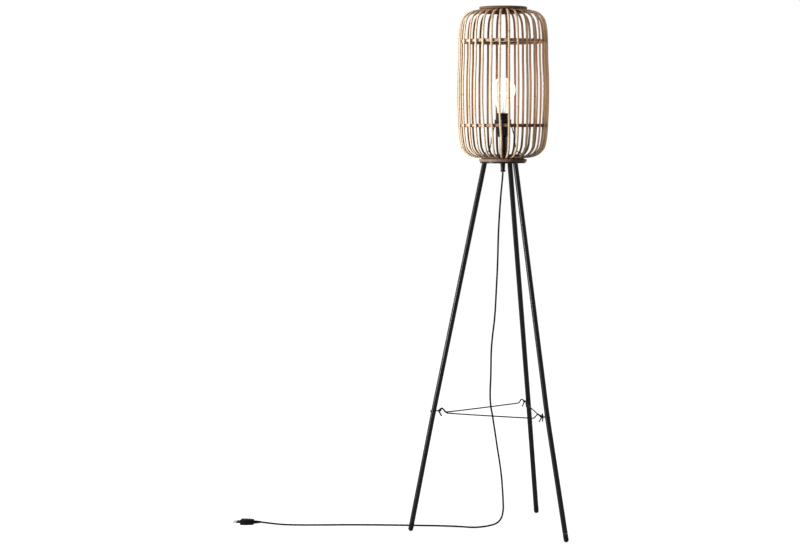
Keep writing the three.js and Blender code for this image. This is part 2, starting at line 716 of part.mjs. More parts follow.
for (const { from, to, drop_shares } of braces) {
  const [start_leg, end_leg] = [from, to].map((name) => legs.find((leg) => leg.name === name));
  brace(start_leg, end_leg, drop_shares);
}

// Cord from the grip to the plug
const cord_points = cord_route.map(([x, y, z]) => new THREE.Vector3(x, y, z));
const cord_line = new THREE.CatmullRomCurve3(cord_points);
const cord = new THREE.ExtrudeGeometry(circle(cord_radius, cord_sides), {
  steps: cord_steps,
  bevelEnabled: false,
  extrudePath: cord_line,
});
put("cord", cord, black_plastic, lamp);

// Plug, lying where the cord ends and pointing the way that the cord runs there
const cord_end = cord_points[cord_points.length - 1];
const plug_way = cord_end.clone().sub(cord_points[cord_points.length - 2]).setZ(0).normalize();
const plug_turn = Math.atan2(plug_way.y, plug_way.x);
const plug_axis_height = plug_height / 2;
const body_start = fit_gap + plug_relief_length;
const body_inner = plug_length - 2 * plug_edge;
const plug_side = plug_reach_shares.map((share, at) => {
  const width = plug_tail_width + (plug_width - plug_tail_width) * plug_width_shares[at];
  return new THREE.Vector2(body_start + plug_edge + body_inner * share, width / 2 - plug_edge);
});
const plug_other_side = plug_side.map((point) => new THREE.Vector2(point.x, -point.y));
const plug_face = [...plug_other_side, ...plug_side.reverse()];
const plug_body = new THREE.ExtrudeGeometry(new THREE.Shape(plug_face), {
  depth: plug_height - 2 * plug_edge,
  steps: 1,
  bevelSize: plug_edge,
  bevelThickness: plug_edge,
  bevelSegments: 1,
}).translate(0, 0, plug_edge - plug_axis_height);
const relief_line = [
  [0, fit_gap],
  [plug_relief_tip_radius, fit_gap],
  [plug_relief_radius, body_start],
  [plug_relief_radius, body_start + plug_length / 3],
  [0, body_start + plug_length / 3],
];
let plug = solid(plug_body).add(solid(turned(relief_line, rod_sides).rotateY(Math.PI / 2)));
for (const side of [-1, 1]) {
  const pin_start = new THREE.Vector3(body_start + plug_length / 2, (side * pin_spacing) / 2, 0);
  const pin_end = new THREE.Vector3(body_start + plug_length + pin_length, (side * pin_spacing) / 2, 0);
  plug = plug.add(solid(rod(pin_start, pin_end, pin_radius, wire_sides)));
}
const plug_mesh = put("plug", finished(plug), black_plastic, lamp);
plug_mesh.rotation.z = plug_turn;
plug_mesh.position.set(cord_end.x, cord_end.y, plug_axis_height);

export default lamp;
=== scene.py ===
import math
import random

import bpy
from mathutils import Euler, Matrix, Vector


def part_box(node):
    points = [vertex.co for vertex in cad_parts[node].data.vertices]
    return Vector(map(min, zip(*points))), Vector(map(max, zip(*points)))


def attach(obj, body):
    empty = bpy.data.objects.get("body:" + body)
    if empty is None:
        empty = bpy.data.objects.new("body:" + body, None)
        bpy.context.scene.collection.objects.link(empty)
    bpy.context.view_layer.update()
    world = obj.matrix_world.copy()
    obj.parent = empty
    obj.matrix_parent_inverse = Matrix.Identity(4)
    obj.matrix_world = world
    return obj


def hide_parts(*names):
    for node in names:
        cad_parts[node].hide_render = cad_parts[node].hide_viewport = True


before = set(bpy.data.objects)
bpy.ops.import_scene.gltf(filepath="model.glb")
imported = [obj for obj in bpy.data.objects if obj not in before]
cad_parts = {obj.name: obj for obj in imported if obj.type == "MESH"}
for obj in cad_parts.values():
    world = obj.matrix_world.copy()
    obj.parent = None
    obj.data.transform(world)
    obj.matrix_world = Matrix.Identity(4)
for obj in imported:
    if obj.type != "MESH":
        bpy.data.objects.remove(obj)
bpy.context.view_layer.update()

bpy.ops.object.select_all(action="DESELECT")

# The camera: a long lens at the height of the lamp holder, dipped a little and turned so
# that the lamp stands right of the middle. All below is set out from the lamp's axis.
stem_low, stem_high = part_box("stem_tube")
axis = Vector(((stem_low.x + stem_high.x) / 2, (stem_low.y + stem_high.y) / 2, 0.0))
camera_distance = 5.339
camera_height = 0.9893
camera_side = math.radians(20.5)
camera_turn = math.radians(23.2335)
camera_dip = math.radians(3.779)
camera_roll = math.radians(0.063)
film_width = 36
lens_length = 96.8
farthest_seen = 60
bpy.ops.object.camera_add(
    location=(
        axis.x + camera_distance * math.sin(camera_side),
        axis.y - camera_distance * math.cos(camera_side),
        camera_height,
    ),
    rotation=(math.pi / 2 - camera_dip, camera_roll, camera_turn),
)
camera = bpy.context.object
camera.data.sensor_width = film_width
camera.data.lens = lens_length
camera.data.clip_end = farthest_seen
bpy.context.scene.camera = camera
bpy.context.scene.view_settings.view_transform = "Standard"


# Mains cord: two thin cores in a smooth black sheath. It drops from the grip under the
# plate, swings out a little, and runs away over the floor to its plug.
cord_radius = 0.0022
cord_route = [
    (-0.0056, -0.0571, 0.8909), (-0.0059, -0.0572, 0.8820), (-0.0076, -0.0578, 0.8620),
    (-0.0107, -0.0590, 0.8250), (-0.0130, -0.0598, 0.7900), (-0.0156, -0.0608, 0.7350),
    (-0.0173, -0.0615, 0.6650), (-0.0203, -0.0626, 0.5950), (-0.0241, -0.0640, 0.5270),
    (-0.0286, -0.0657, 0.4850), (-0.0314, -0.0667, 0.4500), (-0.0323, -0.0671, 0.4100),
    (-0.0327, -0.0672, 0.3800), (-0.0340, -0.0677, 0.3480), (-0.0333, -0.0674, 0.3150),
    (-0.0280, -0.0654, 0.2800), (-0.0181, -0.0617, 0.2100), (-0.0083, -0.0581, 0.1400),
    (-0.0052, -0.0569, 0.1020), (-0.0033, -0.0562, 0.0660), (-0.0037, -0.0563, 0.0420),
    (-0.0089, -0.0572, 0.0240), (-0.0193, -0.0601, 0.0124), (-0.0356, -0.0651, 0.0062),
    (-0.0542, -0.0753, 0.0032), (-0.0744, -0.0871, 0.0025), (-0.0965, -0.0879, 0.0024),
    (-0.1213, -0.0902, 0.0024), (-0.1605, -0.0995, 0.0024), (-0.2169, -0.1172, 0.0024),
    (-0.2935, -0.1434, 0.0024), (-0.3692, -0.1723, 0.0024), (-0.4366, -0.2033, 0.0024),
    (-0.4938, -0.2273, 0.0024), (-0.5323, -0.2358, 0.0024), (-0.5606, -0.2400, 0.0040),
    (-0.5844, -0.2478, 0.0068),
]


def chart(code):
    """A colour from a paint chart, in the shader's own numbers"""
    parts = [int(code[at : at + 2], 16) / 255 for at in (0, 2, 4)]
    return [*(c / 12.92 if c <= 0.04045 else ((c + 0.055) / 1.055) ** 2.4 for c in parts), 1.0]


def new_finish(name, colour, roughness, gloss=0.5):
    """A material, its node tree and its shader"""
    finish = bpy.data.materials.new(name)
    finish.use_nodes = True
    shader = finish.node_tree.nodes["Principled BSDF"]
    shader.inputs["Base Color"].default_value = chart(colour)
    shader.inputs["Roughness"].default_value = roughness
    shader.inputs["Specular IOR Level"].default_value = gloss
    return finish, finish.node_tree, shader


def grain(tree, cells, detail=4.0, source="Object", roughness=0.55, seed=None):
    """Noise on the piece's own coordinates, with so many cells a metre each way"""
    place = tree.nodes.new("ShaderNodeTexCoord")
    mapping = tree.nodes.new("ShaderNodeMapping")
    mapping.inputs["Scale"].default_value = cells if isinstance(cells, tuple) else [cells] * 3
    noise = tree.nodes.new("ShaderNodeTexNoise")
    noise.inputs["Scale"].default_value = 1.0
    noise.inputs["Detail"].default_value = detail
    noise.inputs["Roughness"].default_value = roughness
    tree.links.new(place.outputs[source], mapping.inputs["Vector"])
    tree.links.new(mapping.outputs["Vector"], noise.inputs["Vector"])
    if seed is not None:
        noise.noise_dimensions = "4D"
        tree.links.new(seed, noise.inputs["W"])
    return noise.outputs["Fac"]


def ramp(tree, value, stops):
    """Colours or greys along a value, each stop a place and a paint chart code"""
    node = tree.nodes.new("ShaderNodeValToRGB")
    while len(node.color_ramp.elements) < len(stops):
        node.color_ramp.elements.new(1.0)
    for element, (place, code) in zip(node.color_ramp.elements, stops):
        element.position = place
        element.color = chart(code)
    tree.links.new(value, node.inputs["Fac"])
    return node.outputs["Color"]


def relief(tree, shader, height, depth):
    """Bump of a real depth in metres"""
    bump = tree.nodes.new("ShaderNodeBump")
    bump.inputs["Distance"].default_value = depth
    tree.links.new(height, bump.inputs["Height"])
    tree.links.new(bump.outputs["Normal"], shader.inputs["Normal"])


def mottled(
    name, colour, roughness, gloss=0.5, tones=None, cells=0, pits=0, pit_depth=0.0, metal=0.0
):
    """A finish that wanders between two tones, if it has them, under a fine bump"""
    finish, tree, shader = new_finish(name, colour, roughness, gloss)
    shader.inputs["Metallic"].default_value = metal
    if tones:
        tree.links.new(ramp(tree, grain(tree, cells), tones), shader.inputs["Base Color"])
    relief(tree, shader, grain(tree, pits, 2.0), pit_depth)
    return finish


def bent_rod(name, points, radius, roundness=6, way="AUTO"):
    """A round rod along a smooth line, still a curve"""
    bpy.ops.object.select_all(action="DESELECT")
    bpy.ops.curve.primitive_bezier_curve_add()
    rod = bpy.context.object
    rod.name = name
    line = rod.data.splines[0]
    line.bezier_points.add(len(points) - 2)
    for knot, place in zip(line.bezier_points, points):
        knot.co = place
    for knot in line.bezier_points:
        knot.handle_left_type = way
        knot.handle_right_type = way
    rod.data.resolution_u = 8
    rod.data.bevel_depth = radius
    rod.data.bevel_resolution = roundness
    rod.data.use_fill_caps = True
    return rod


sheath = mottled(
    "black_sheath", "0c0c0c", 0.65, 0.06,
    tones=[(0.3, "0b0b0c"), (0.7, "161617")], cells=180, pits=900, pit_depth=0.000012,
)
cord = bent_rod("mains_cord", cord_route, cord_radius)
cord.data.materials.append(sheath)
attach(cord, "stand")
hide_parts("cord")


# Plug: a moulded two-pin plug with a ribbed sleeve where the cord goes in. It lies on its
# flat side, and its round pins have black collars at the root.
plug_way = Vector(cord_route[-1]) - Vector(cord_route[-2])
plug_turn = math.atan2(plug_way.y, plug_way.x)
plug_middle = 0.0068
sleeve_start = 0.0003
sleeve_tip_radius = 0.0029
sleeve_radius = 0.0031
sleeve_swell = 0.0002
sleeve_root_radius = 0.0049
sleeve_root_length = 0.004
groove_depth = 0.0006
ring_count = 8
ring_step = 0.0022
body_start = 0.0183
body_length = 0.034
body_width = 0.026
body_height = 0.0136
body_rounding = 0.0024
width_shares = [(0.0, 0.66), (0.25, 0.84), (0.5, 0.985), (1.0, 0.93)]
dent_border = 0.0012
dent_depth = 0.0005
pin_radius = 0.002
pin_reach = 0.019
pin_spacing = 0.0186
collar_radius = pin_radius * 1.06
collar_reach = 0.0102
pin_sunk = 0.001
hair = 0.0001  # two places this near count as the same


def only(piece):
    """Selects one piece alone, to be worked on"""
    bpy.ops.object.select_all(action="DESELECT")
    piece.select_set(True)
    bpy.context.view_layer.objects.active = piece


def edit(piece, action="DESELECT"):
    """Opens one piece in edit mode with nothing selected, or with SELECT all of it"""
    only(piece)
    bpy.ops.object.mode_set(mode="EDIT")
    bpy.ops.mesh.select_all(action=action)


def pick(piece, kind, test):
    """Selects the faces or edges whose middle and corners pass a test"""
    bpy.ops.mesh.select_mode(type="FACE" if kind == "faces" else "EDGE")
    bpy.ops.mesh.select_all(action="DESELECT")
    bpy.ops.object.mode_set(mode="OBJECT")
    points = piece.data.vertices
    for element in piece.data.polygons if kind == "faces" else piece.data.edges:
        corners = [points[at].co for at in element.vertices]
        element.select = test(sum(corners, Vector()) / len(corners), corners)
    bpy.ops.object.mode_set(mode="EDIT")


def pull(x, y, z):
    """Draws new faces or edges out of what is selected"""
    bpy.ops.mesh.extrude_region_move(TRANSFORM_OT_translate={"value": (x, y, z)})


def close_up(piece, angle=35.0):
    """Merges doubles, turns the faces outwards, sets the place in the mesh and smooths it"""
    edit(piece, "SELECT")
    bpy.ops.mesh.remove_doubles(threshold=0.00001)
    bpy.ops.mesh.normals_make_consistent(inside=False)
    bpy.ops.object.mode_set(mode="OBJECT")
    bpy.ops.object.transform_apply()
    bpy.ops.object.shade_smooth_by_angle(angle=math.radians(angle))
    return piece


def joined(pieces, name):
    """Several meshes made one"""
    only(pieces[0])
    for piece in pieces:
        piece.select_set(True)
    bpy.ops.object.join()
    pieces[0].name = name
    return pieces[0]


def drawn_out(name, start, stations, sides=32):
    """A round bar drawn out along +X: each station is a step along and the radius there"""
    bpy.ops.object.select_all(action="DESELECT")
    bpy.ops.mesh.primitive_circle_add(
        vertices=sides, radius=1.0, fill_type="NGON", rotation=(0.0, math.pi / 2, 0.0)
    )
    piece = bpy.context.object
    piece.name = name
    bpy.ops.object.transform_apply()
    last = stations[0][1]
    edit(piece, "SELECT")
    bpy.ops.transform.resize(value=(1.0, last, last))
    bpy.ops.transform.translate(value=(start, 0.0, 0.0))
    at = start
    for step, radius in stations[1:]:
        pull(step, 0.0, 0.0)
        at += step
        grow = radius / last
        bpy.ops.transform.resize(value=(1.0, grow, grow), center_override=(at, 0.0, 0.0))
        last = radius
    bpy.ops.object.mode_set(mode="OBJECT")
    return piece


def lay_plug_piece(piece):
    """Turns a plug piece to the cord's own way and sets it at the cord's end"""
    piece.rotation_euler = (0.0, 0.0, plug_turn)
    piece.location = (cord_route[-1][0], cord_route[-1][1], plug_middle)
    return close_up(piece)


sleeve_stations = [(0.0, sleeve_tip_radius)]
for ring in range(ring_count):
    tall = sleeve_radius + sleeve_swell * ring
    for share, depth in ((0.12, 0.0), (0.5, 0.0), (0.12, groove_depth), (0.26, groove_depth)):
        sleeve_stations.append((ring_step * share, tall - depth))
sleeve_stations.append((sleeve_root_length, sleeve_root_radius))
sleeve = drawn_out("plug_sleeve", sleeve_start, sleeve_stations, 24)

bpy.ops.mesh.primitive_cube_add(size=1.0, location=(body_start + body_length / 2, 0.0, 0.0))
body = bpy.context.object
body.dimensions = (body_length, body_width, body_height)
bpy.ops.object.transform_apply()
edit(body, "SELECT")
bpy.ops.mesh.subdivide(number_cuts=3)
for share, reach in width_shares:
    level = body_start + body_length * share
    pick(
        body,
        "edges",
        lambda middle, corners, x=level: all(abs(c.x - x) < hair * 5 for c in corners),
    )
    bpy.ops.transform.resize(value=(1.0, reach, 1.0), center_override=(level, 0.0, 0.0))
bpy.ops.object.mode_set(mode="OBJECT")
rounding = body.modifiers.new("rounding", "BEVEL")
rounding.width = body_rounding
rounding.segments = 4
rounding.angle_limit = math.radians(40)
bpy.ops.object.modifier_apply(modifier="rounding")
edit(body)
pick(
    body,
    "faces",
    lambda middle, corners: abs(abs(middle.z) - body_height / 2) < hair
    and body_start + body_length * 0.25 < middle.x < body_start + body_length * 0.76
    and abs(middle.y) < body_width * 0.25,
)
bpy.ops.mesh.inset(thickness=dent_border, depth=-dent_depth)
bpy.ops.object.mode_set(mode="OBJECT")
plug = lay_plug_piece(joined([body, sleeve], "plug_body"))
plug.data.materials.append(sheath)

pin_metal = mottled("bright_pin", "b9b7b0", 0.25, pits=300, pit_depth=0.00003, metal=1.0)
pin_stations = [
    (0.0, pin_radius),
    (pin_reach - 0.0004, pin_radius),
    (0.0009, pin_radius * 0.86),
    (0.0005, pin_radius * 0.4),
]
collar_stations = [
    (0.0, collar_radius),
    (collar_reach, collar_radius),
    (0.0004, pin_radius * 0.96),
]
plug_pieces = [plug]
for name, stations, finish in (
    ("plug_pins", pin_stations, pin_metal),
    ("pin_collars", collar_stations, sheath),
):
    pair = []
    for side in (-1, 1):
        piece = drawn_out(name, body_start + body_length - pin_sunk, stations, 20)
        edit(piece, "SELECT")
        bpy.ops.transform.translate(value=(0.0, side * pin_spacing / 2, 0.0))
        bpy.ops.object.mode_set(mode="OBJECT")
        pair.append(piece)
    both = lay_plug_piece(joined(pair, name))
    both.data.materials.append(finish)
    plug_pieces.append(both)
for piece in plug_pieces:
    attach(piece, "stand")
    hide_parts("plug")


# Legs: three steel tubes in satin black powder coat, threaded on studs under the plate.
# Each is drilled through at the height of the bracing wires, where it bows very slightly.
leg_radius = 0.0063
leg_top_reach = 0.0460
foot_reach = 0.2349
head_height = 0.9130
foot_flat = 0.0018
foot_length = 0.0140
fit_gap = 0.0003
bow_reach = 0.08
bow_ease = 0.02
sawn_off = 0.012
sole_height = math.sqrt(leg_radius**2 - foot_flat**2)


class Leg:
    """Where one leg runs, from its turn at the plate and at the floor"""

    def __init__(self, name, turn, foot_turn, foot_share, bow_share, eye_height, eye_reach):
        self.name = name
        self.top = out_from_axis(turn, leg_top_reach, head_height)
        self.foot = out_from_axis(foot_turn, foot_reach * foot_share, sole_height)
        down = (head_height - eye_height) / (head_height - sole_height)
        straight = self.top.lerp(self.foot, down)
        self.out = Vector((straight.x - axis.x, straight.y - axis.y, 0.0)).normalized()
        self.knee = straight + self.out * bow_share * 2 * leg_radius
        self.upper = (self.top - self.knee).normalized()
        self.lower = (self.knee - self.foot).normalized()
        self.eye = self.knee - self.out * eye_reach
        self.ankle = self.foot + self.lower * (foot_length + fit_gap)


def out_from_axis(turn, reach, height):
    """A point at an angle in degrees, a reach and a height from the lamp's axis"""
    angle = math.radians(turn)
    return Vector((axis.x + reach * math.cos(angle), axis.y + reach * math.sin(angle), height))


def made_mesh(piece, angle=35.0):
    """A curve turned into a closed mesh"""
    only(piece)
    bpy.ops.object.convert(target="MESH")
    return close_up(bpy.context.object, angle)


def cut_level(piece, height, keep_below=True):
    """Saws a piece off level and closes the cut"""
    edit(piece, "SELECT")
    bpy.ops.mesh.bisect(
        plane_co=(axis.x, axis.y, height),
        plane_no=(0.0, 0.0, 1.0),
        use_fill=True,
        threshold=0.000001,
        clear_outer=keep_below,
        clear_inner=not keep_below,
    )
    bpy.ops.object.mode_set(mode="OBJECT")
    return close_up(piece)


powder_coat = mottled(
    "black_powder_coat", "0b0b0b", 0.28, 0.14,
    tones=[(0.35, "0b0b0b"), (0.65, "131313")], cells=60, pits=700, pit_depth=0.000008,
)
legs = [
    Leg("back", 88.4, 88.5, 1.01, 0.19, 0.3020, 0.0220),
    Leg("left", 210, 212.1, 0.986, 0.18, 0.2993, 0.0135),
    Leg("right", 332.1, 331.5, 1.004, -0.65, 0.2960, 0.0185),
]
for leg in legs:
    route = [
        leg.top + leg.upper * sawn_off,
        leg.knee + leg.upper * bow_reach,
        leg.knee + leg.upper * bow_ease,
        leg.knee - leg.lower * bow_ease,
        leg.knee - leg.lower * bow_reach,
        leg.ankle,
    ]
    tube = made_mesh(bent_rod(f"leg_tube_{leg.name}", route, leg_radius, 14))
    tube = cut_level(tube, head_height - fit_gap)
    tube.data.materials.append(powder_coat)
    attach(tube, "stand")
    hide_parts(f"leg_{leg.name}")


# Feet: moulded black ends pushed into the tubes, round below but for the flat spot that
# they stand on. A fine line shows where each meets its tube.
joint_line = 0.00012
dome_count = 10
foot_black = mottled(
    "foot_plastic", "0e0e0e", 0.6, 0.09,
    tones=[(0.3, "0d0d0d"), (0.7, "181817")], cells=250, pits=1100, pit_depth=0.000015,
)
foot_stations = []
last = foot_start = -leg_radius * math.cos(math.pi / 2 / dome_count)
for step in range(1, dome_count + 1):
    swing = step / dome_count * math.pi / 2
    level = -leg_radius * math.cos(swing)
    foot_stations.append((level - last, leg_radius * math.sin(swing)))
    last = level
foot_stations.append((foot_length - joint_line, leg_radius))
foot_stations.append((joint_line, leg_radius - joint_line))
for leg in legs:
    foot = drawn_out(f"foot_end_{leg.name}", foot_start, foot_stations)
    foot.rotation_euler = leg.lower.to_track_quat("X", "Z").to_euler()
    foot.location = leg.foot
    foot = cut_level(close_up(foot), 0.0, keep_below=False)
    foot.data.materials.append(foot_black)
    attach(foot, "stand")
    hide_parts(f"foot_{leg.name}")


# Eye bolts: a level wire eye inside each leg, its shank right through the tube, and a
# small domed nut outside.
eye_radius = 0.0052
eye_wire = 0.0013
nut_radius = 0.0026
nut_height = 0.0014
nut_shares = [(0.0, 0.9), (0.1, 1.0), (0.4, 1.0), (0.12, 0.86), (0.22, 0.66), (0.16, 0.3)]
nut_stations = [(nut_height * step, nut_radius * reach) for step, reach in nut_shares]
wire_steel = mottled(
    "dark_wire", "0f0f10", 0.6, 0.08,
    tones=[(0.3, "0b0b0c"), (0.7, "151516")], cells=120, pits=700, pit_depth=0.00001,
)
for leg in legs:
    lean = leg.out.dot(-leg.lower) / leg.lower.z
    seat = leg_radius * math.hypot(1.0, lean) + nut_radius * abs(lean) + fit_gap
    bpy.ops.object.select_all(action="DESELECT")
    bpy.ops.mesh.primitive_torus_add(
        location=leg.eye,
        major_radius=eye_radius,
        minor_radius=eye_wire,
        major_segments=40,
        minor_segments=14,
    )
    eye = bpy.context.object
    bpy.ops.object.transform_apply()
    shank_ends = [leg.eye + leg.out * eye_radius, leg.knee + leg.out * (seat + nut_height * 0.6)]
    shank = made_mesh(bent_rod("eye_shank", shank_ends, eye_wire, 5, "VECTOR"))
    nut = drawn_out("eye_nut", 0.0, nut_stations, 6)
    nut.rotation_euler = (0.0, 0.0, math.atan2(leg.out.y, leg.out.x))
    nut.location = leg.knee + leg.out * seat
    close_up(nut, 20.0)
    bolt = joined([eye, shank, nut], f"eye_bolt_wire_{leg.name}")
    bpy.ops.object.shade_smooth_by_angle(angle=math.radians(30))
    bolt.data.materials.append(wire_steel)
    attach(bolt, "stand")
    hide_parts(f"eye_bolt_{leg.name}")


# Bracing wires: thin steel rods between the legs. Each end humps up, then turns down
# through the eye as a hook, and can be lifted out by hand.
brace_radius = 0.0016
hook_spread = 0.0021
hook_length = 0.021
hook_rise = 0.0082
hook_reach_shares = [
    0.33, 0.2, 0.07, -0.02, -0.03, 0.01, 0.12, 0.27, 0.4, 0.5, 0.6, 0.7, 0.8, 0.9, 1.05,
]
hook_rise_shares = [-1.54, -1, -0.44, -0.11, 0, 0.15, 0.35, 0.57, 0.71, 0.67, 0.5, 0.2]
run_rise_shares = [-0.11, -0.35, -0.45]
back_leg, left_leg, right_leg = legs
for start_leg, end_leg, drop_shares in (
    (left_leg, back_leg, (1.4, 0.75)),
    (left_leg, right_leg, (1.15, 1.15)),
    (back_leg, right_leg, (1.2, 1.2)),
):
    ends = []
    for leg, other in ((start_leg, end_leg), (end_leg, start_leg)):
        across = Vector((0.0, 0.0, 1.0)).cross(leg.out)
        side = math.copysign(hook_spread, across.dot(other.eye - leg.eye))
        ends.append(leg.eye + across * side)
    along = (ends[1] - ends[0]).normalized()
    halves = []
    for end, way, drop_share in zip(ends, (along, -along), drop_shares):
        rise_shares = hook_rise_shares + [share * drop_share for share in run_rise_shares]
        hook = []
        for reach, rise in zip(hook_reach_shares, rise_shares):
            hook.append(end + way * reach * hook_length + Vector((0.0, 0.0, rise * hook_rise)))
        halves.append(hook)
    points = halves[0] + halves[1][::-1]
    wire = made_mesh(bent_rod(f"wire_{start_leg.name}_{end_leg.name}", points, brace_radius, 4))
    wire.data.materials.append(wire_steel)
    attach(wire, "stand")
    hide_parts(f"brace_{start_leg.name}_{end_leg.name}")


# Head plate: a round steel disc in the legs' black coat, with the three studs welded
# below it and a hole in the middle for the cord.
plate_radius = 0.0565
plate_top = 0.9166
plate_hole = 0.0052


def eased(outline, ease, closed=True):
    """An outline with its corners off the axis rounded in four short steps"""
    softened = []
    count = len(outline)
    for at, (reach, height) in enumerate(outline):
        here = Vector((reach, height))
        if reach == 0 or (not closed and at in (0, count - 1)):
            softened.append((reach, height))
            continue
        before = Vector(outline[at - 1])
        after = Vector(outline[(at + 1) % count])
        amount = min(ease, (before - here).length * 0.45, (after - here).length * 0.45)
        start = here + (before - here).normalized() * amount
        end = here + (after - here).normalized() * amount
        for step in range(5):
            share = step / 4
            point = start.lerp(here, share).lerp(here.lerp(end, share), share)
            softened.append((point.x, point.y))
    return softened


def turned(name, outline, steps=72, angle=35.0):
    """A closed outline of reach and height, spun once round the lamp's axis"""
    bpy.ops.object.select_all(action="DESELECT")
    reach, height = outline[0]
    bpy.ops.mesh.primitive_plane_add(size=0.001, location=(axis.x + reach, axis.y, height))
    piece = bpy.context.object
    piece.name = name
    bpy.ops.object.mode_set(mode="EDIT")
    bpy.ops.mesh.select_mode(type="VERT")
    bpy.ops.mesh.select_all(action="SELECT")
    bpy.ops.mesh.merge(type="CENTER")
    for (reach, height), (next_reach, next_height) in zip(outline, outline[1:]):
        pull(next_reach - reach, 0.0, next_height - height)
    bpy.ops.mesh.select_all(action="SELECT")
    bpy.ops.mesh.spin(steps=steps, angle=2 * math.pi, center=axis, axis=(0.0, 0.0, 1.0))
    bpy.ops.object.mode_set(mode="OBJECT")
    return close_up(piece, angle)


def ring_of(name, outline, ease, steps=72):
    """A turned piece whose outline closes on itself away from the axis"""
    soft = eased(outline, ease)
    return turned(name, soft + soft[:1], steps)


plate_outline = [
    (plate_hole, head_height),
    (plate_radius, head_height),
    (plate_radius, plate_top),
    (plate_hole, plate_top),
]
plate = ring_of("head_plate", plate_outline, 0.0008, 96)
plate.data.materials.append(powder_coat)
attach(plate, "stand")
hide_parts("top_plate")


# Cord grip: a black moulded grip under the plate that clamps the cord, with a slim
# collar at its foot and a small locking screw in its side.
grip_top = head_height - fit_gap
grip_foot = grip_top - 0.0215
grip_lip = grip_top - 0.0016
screw_turn = 25
grip_outline = [
    (0.0, grip_foot),
    (0.0036, grip_foot),
    (0.0062, grip_foot + 0.0008),
    (0.0062, grip_foot + 0.0026),
    (0.0053, grip_foot + 0.0038),
    (0.0062, grip_lip),
    (0.0069, grip_lip),
    (0.0069, grip_top),
    (0.0, grip_top),
]
grip = turned("grip_body", eased(grip_outline, 0.0005, closed=False), 48)
screw = drawn_out("grip_screw", 0.0, [(0.0, 0.0014), (0.0016, 0.0014), (0.0003, 0.0011)], 16)
screw.rotation_euler = (0.0, 0.0, math.radians(screw_turn))
screw.location = out_from_axis(screw_turn, 0.0050, grip_foot + 0.0030)
close_up(screw)
grip = joined([grip, screw], "grip_body")
moulding = mottled(
    "black_moulding", "130d0a", 0.3, 0.13,
    tones=[(0.3, "0e0a08"), (0.7, "18120f")], cells=200, pits=1600, pit_depth=0.00001,
)
grip.data.materials.append(moulding)
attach(grip, "stand")
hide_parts("cord_grip")


# Shade rings: a steam-bent wooden rim above and below, stained dark brown, each with a
# thinner liner inside that the slats are glued to.
bore = 0.0500
liner = 0.0530
rim = 0.0590
rim_height = 0.0064
upper_liner = 0.0160
lower_liner = 0.0177
total_height = 1.2979
lower_ring_foot = 0.9169
section_stretch = 1.6
ridge_depth = 0.00015
# Darker colours for painted shade on the rims.
rim_shade_tones = ("1d130d", "30211a", "463226")
rim_shade_middle = 0.5
rim_shade_power = 2


def turn_of(place):
    """How far round the lamp's axis a point is, in radians"""
    return math.atan2(place.y - axis.y, place.x - axis.x)


def reach_of(place):
    """How far out from the lamp's axis a point is"""
    return math.hypot(place.x - axis.x, place.y - axis.y)


def one_sided(turn, middle, power):
    """A share that is full at one side of the lamp and falls to nothing opposite"""
    return (0.5 + 0.5 * math.cos(turn - middle)) ** power


def wrap_round(piece, reach):
    """A UV map in metres: the way round the axis, and the way across the section"""
    layer = piece.data.uv_layers.new(name="round")
    layer.active_render = True
    for face in piece.data.polygons:
        places = [piece.data.vertices[at].co for at in face.vertices]
        turns = [turn_of(place) for place in places]
        crosses_back = max(turns) - min(turns) > math.pi
        for loop, place, turn in zip(face.loop_indices, places, turns):
            if crosses_back and turn < 0:
                turn += 2 * math.pi
            out = place.z * section_stretch + (reach_of(place) - reach)
            layer.data[loop].uv = (turn * reach, out)


def blended(tree, amount, first, second, way="MIX"):
    """Two colours mixed by a value; 6, 7 and 2 are the node's colour sockets"""
    mix = tree.nodes.new("ShaderNodeMix")
    mix.data_type = "RGBA"
    mix.blend_type = way
    if isinstance(amount, float):
        mix.inputs["Factor"].default_value = amount
    else:
        tree.links.new(amount, mix.inputs["Factor"])
    tree.links.new(first, mix.inputs[6])
    tree.links.new(second, mix.inputs[7])
    return mix.outputs[2]


def stored(tree, name):
    """A value kept at each point of the piece"""
    node = tree.nodes.new("ShaderNodeAttribute")
    node.attribute_name = name
    return node.outputs["Fac"]


def stained(name, tones, roughness, gloss):
    """Stained wood whose grain runs round the ring, darker where painted shade is stored"""
    places = (0.25, 0.5, 0.75)
    finish, tree, shader = new_finish(name, tones[0], roughness, gloss)
    streaks = grain(tree, (55, 900, 1), 5.0, "UV", 0.65)
    light = ramp(tree, streaks, list(zip(places, tones)))
    dark = ramp(tree, streaks, list(zip(places, rim_shade_tones)))
    colour = blended(tree, stored(tree, "rim_shade"), light, dark)
    tree.links.new(colour, shader.inputs["Base Color"])
    relief(tree, shader, grain(tree, (90, 2600, 1), 3.0, "UV"), ridge_depth)
    return finish


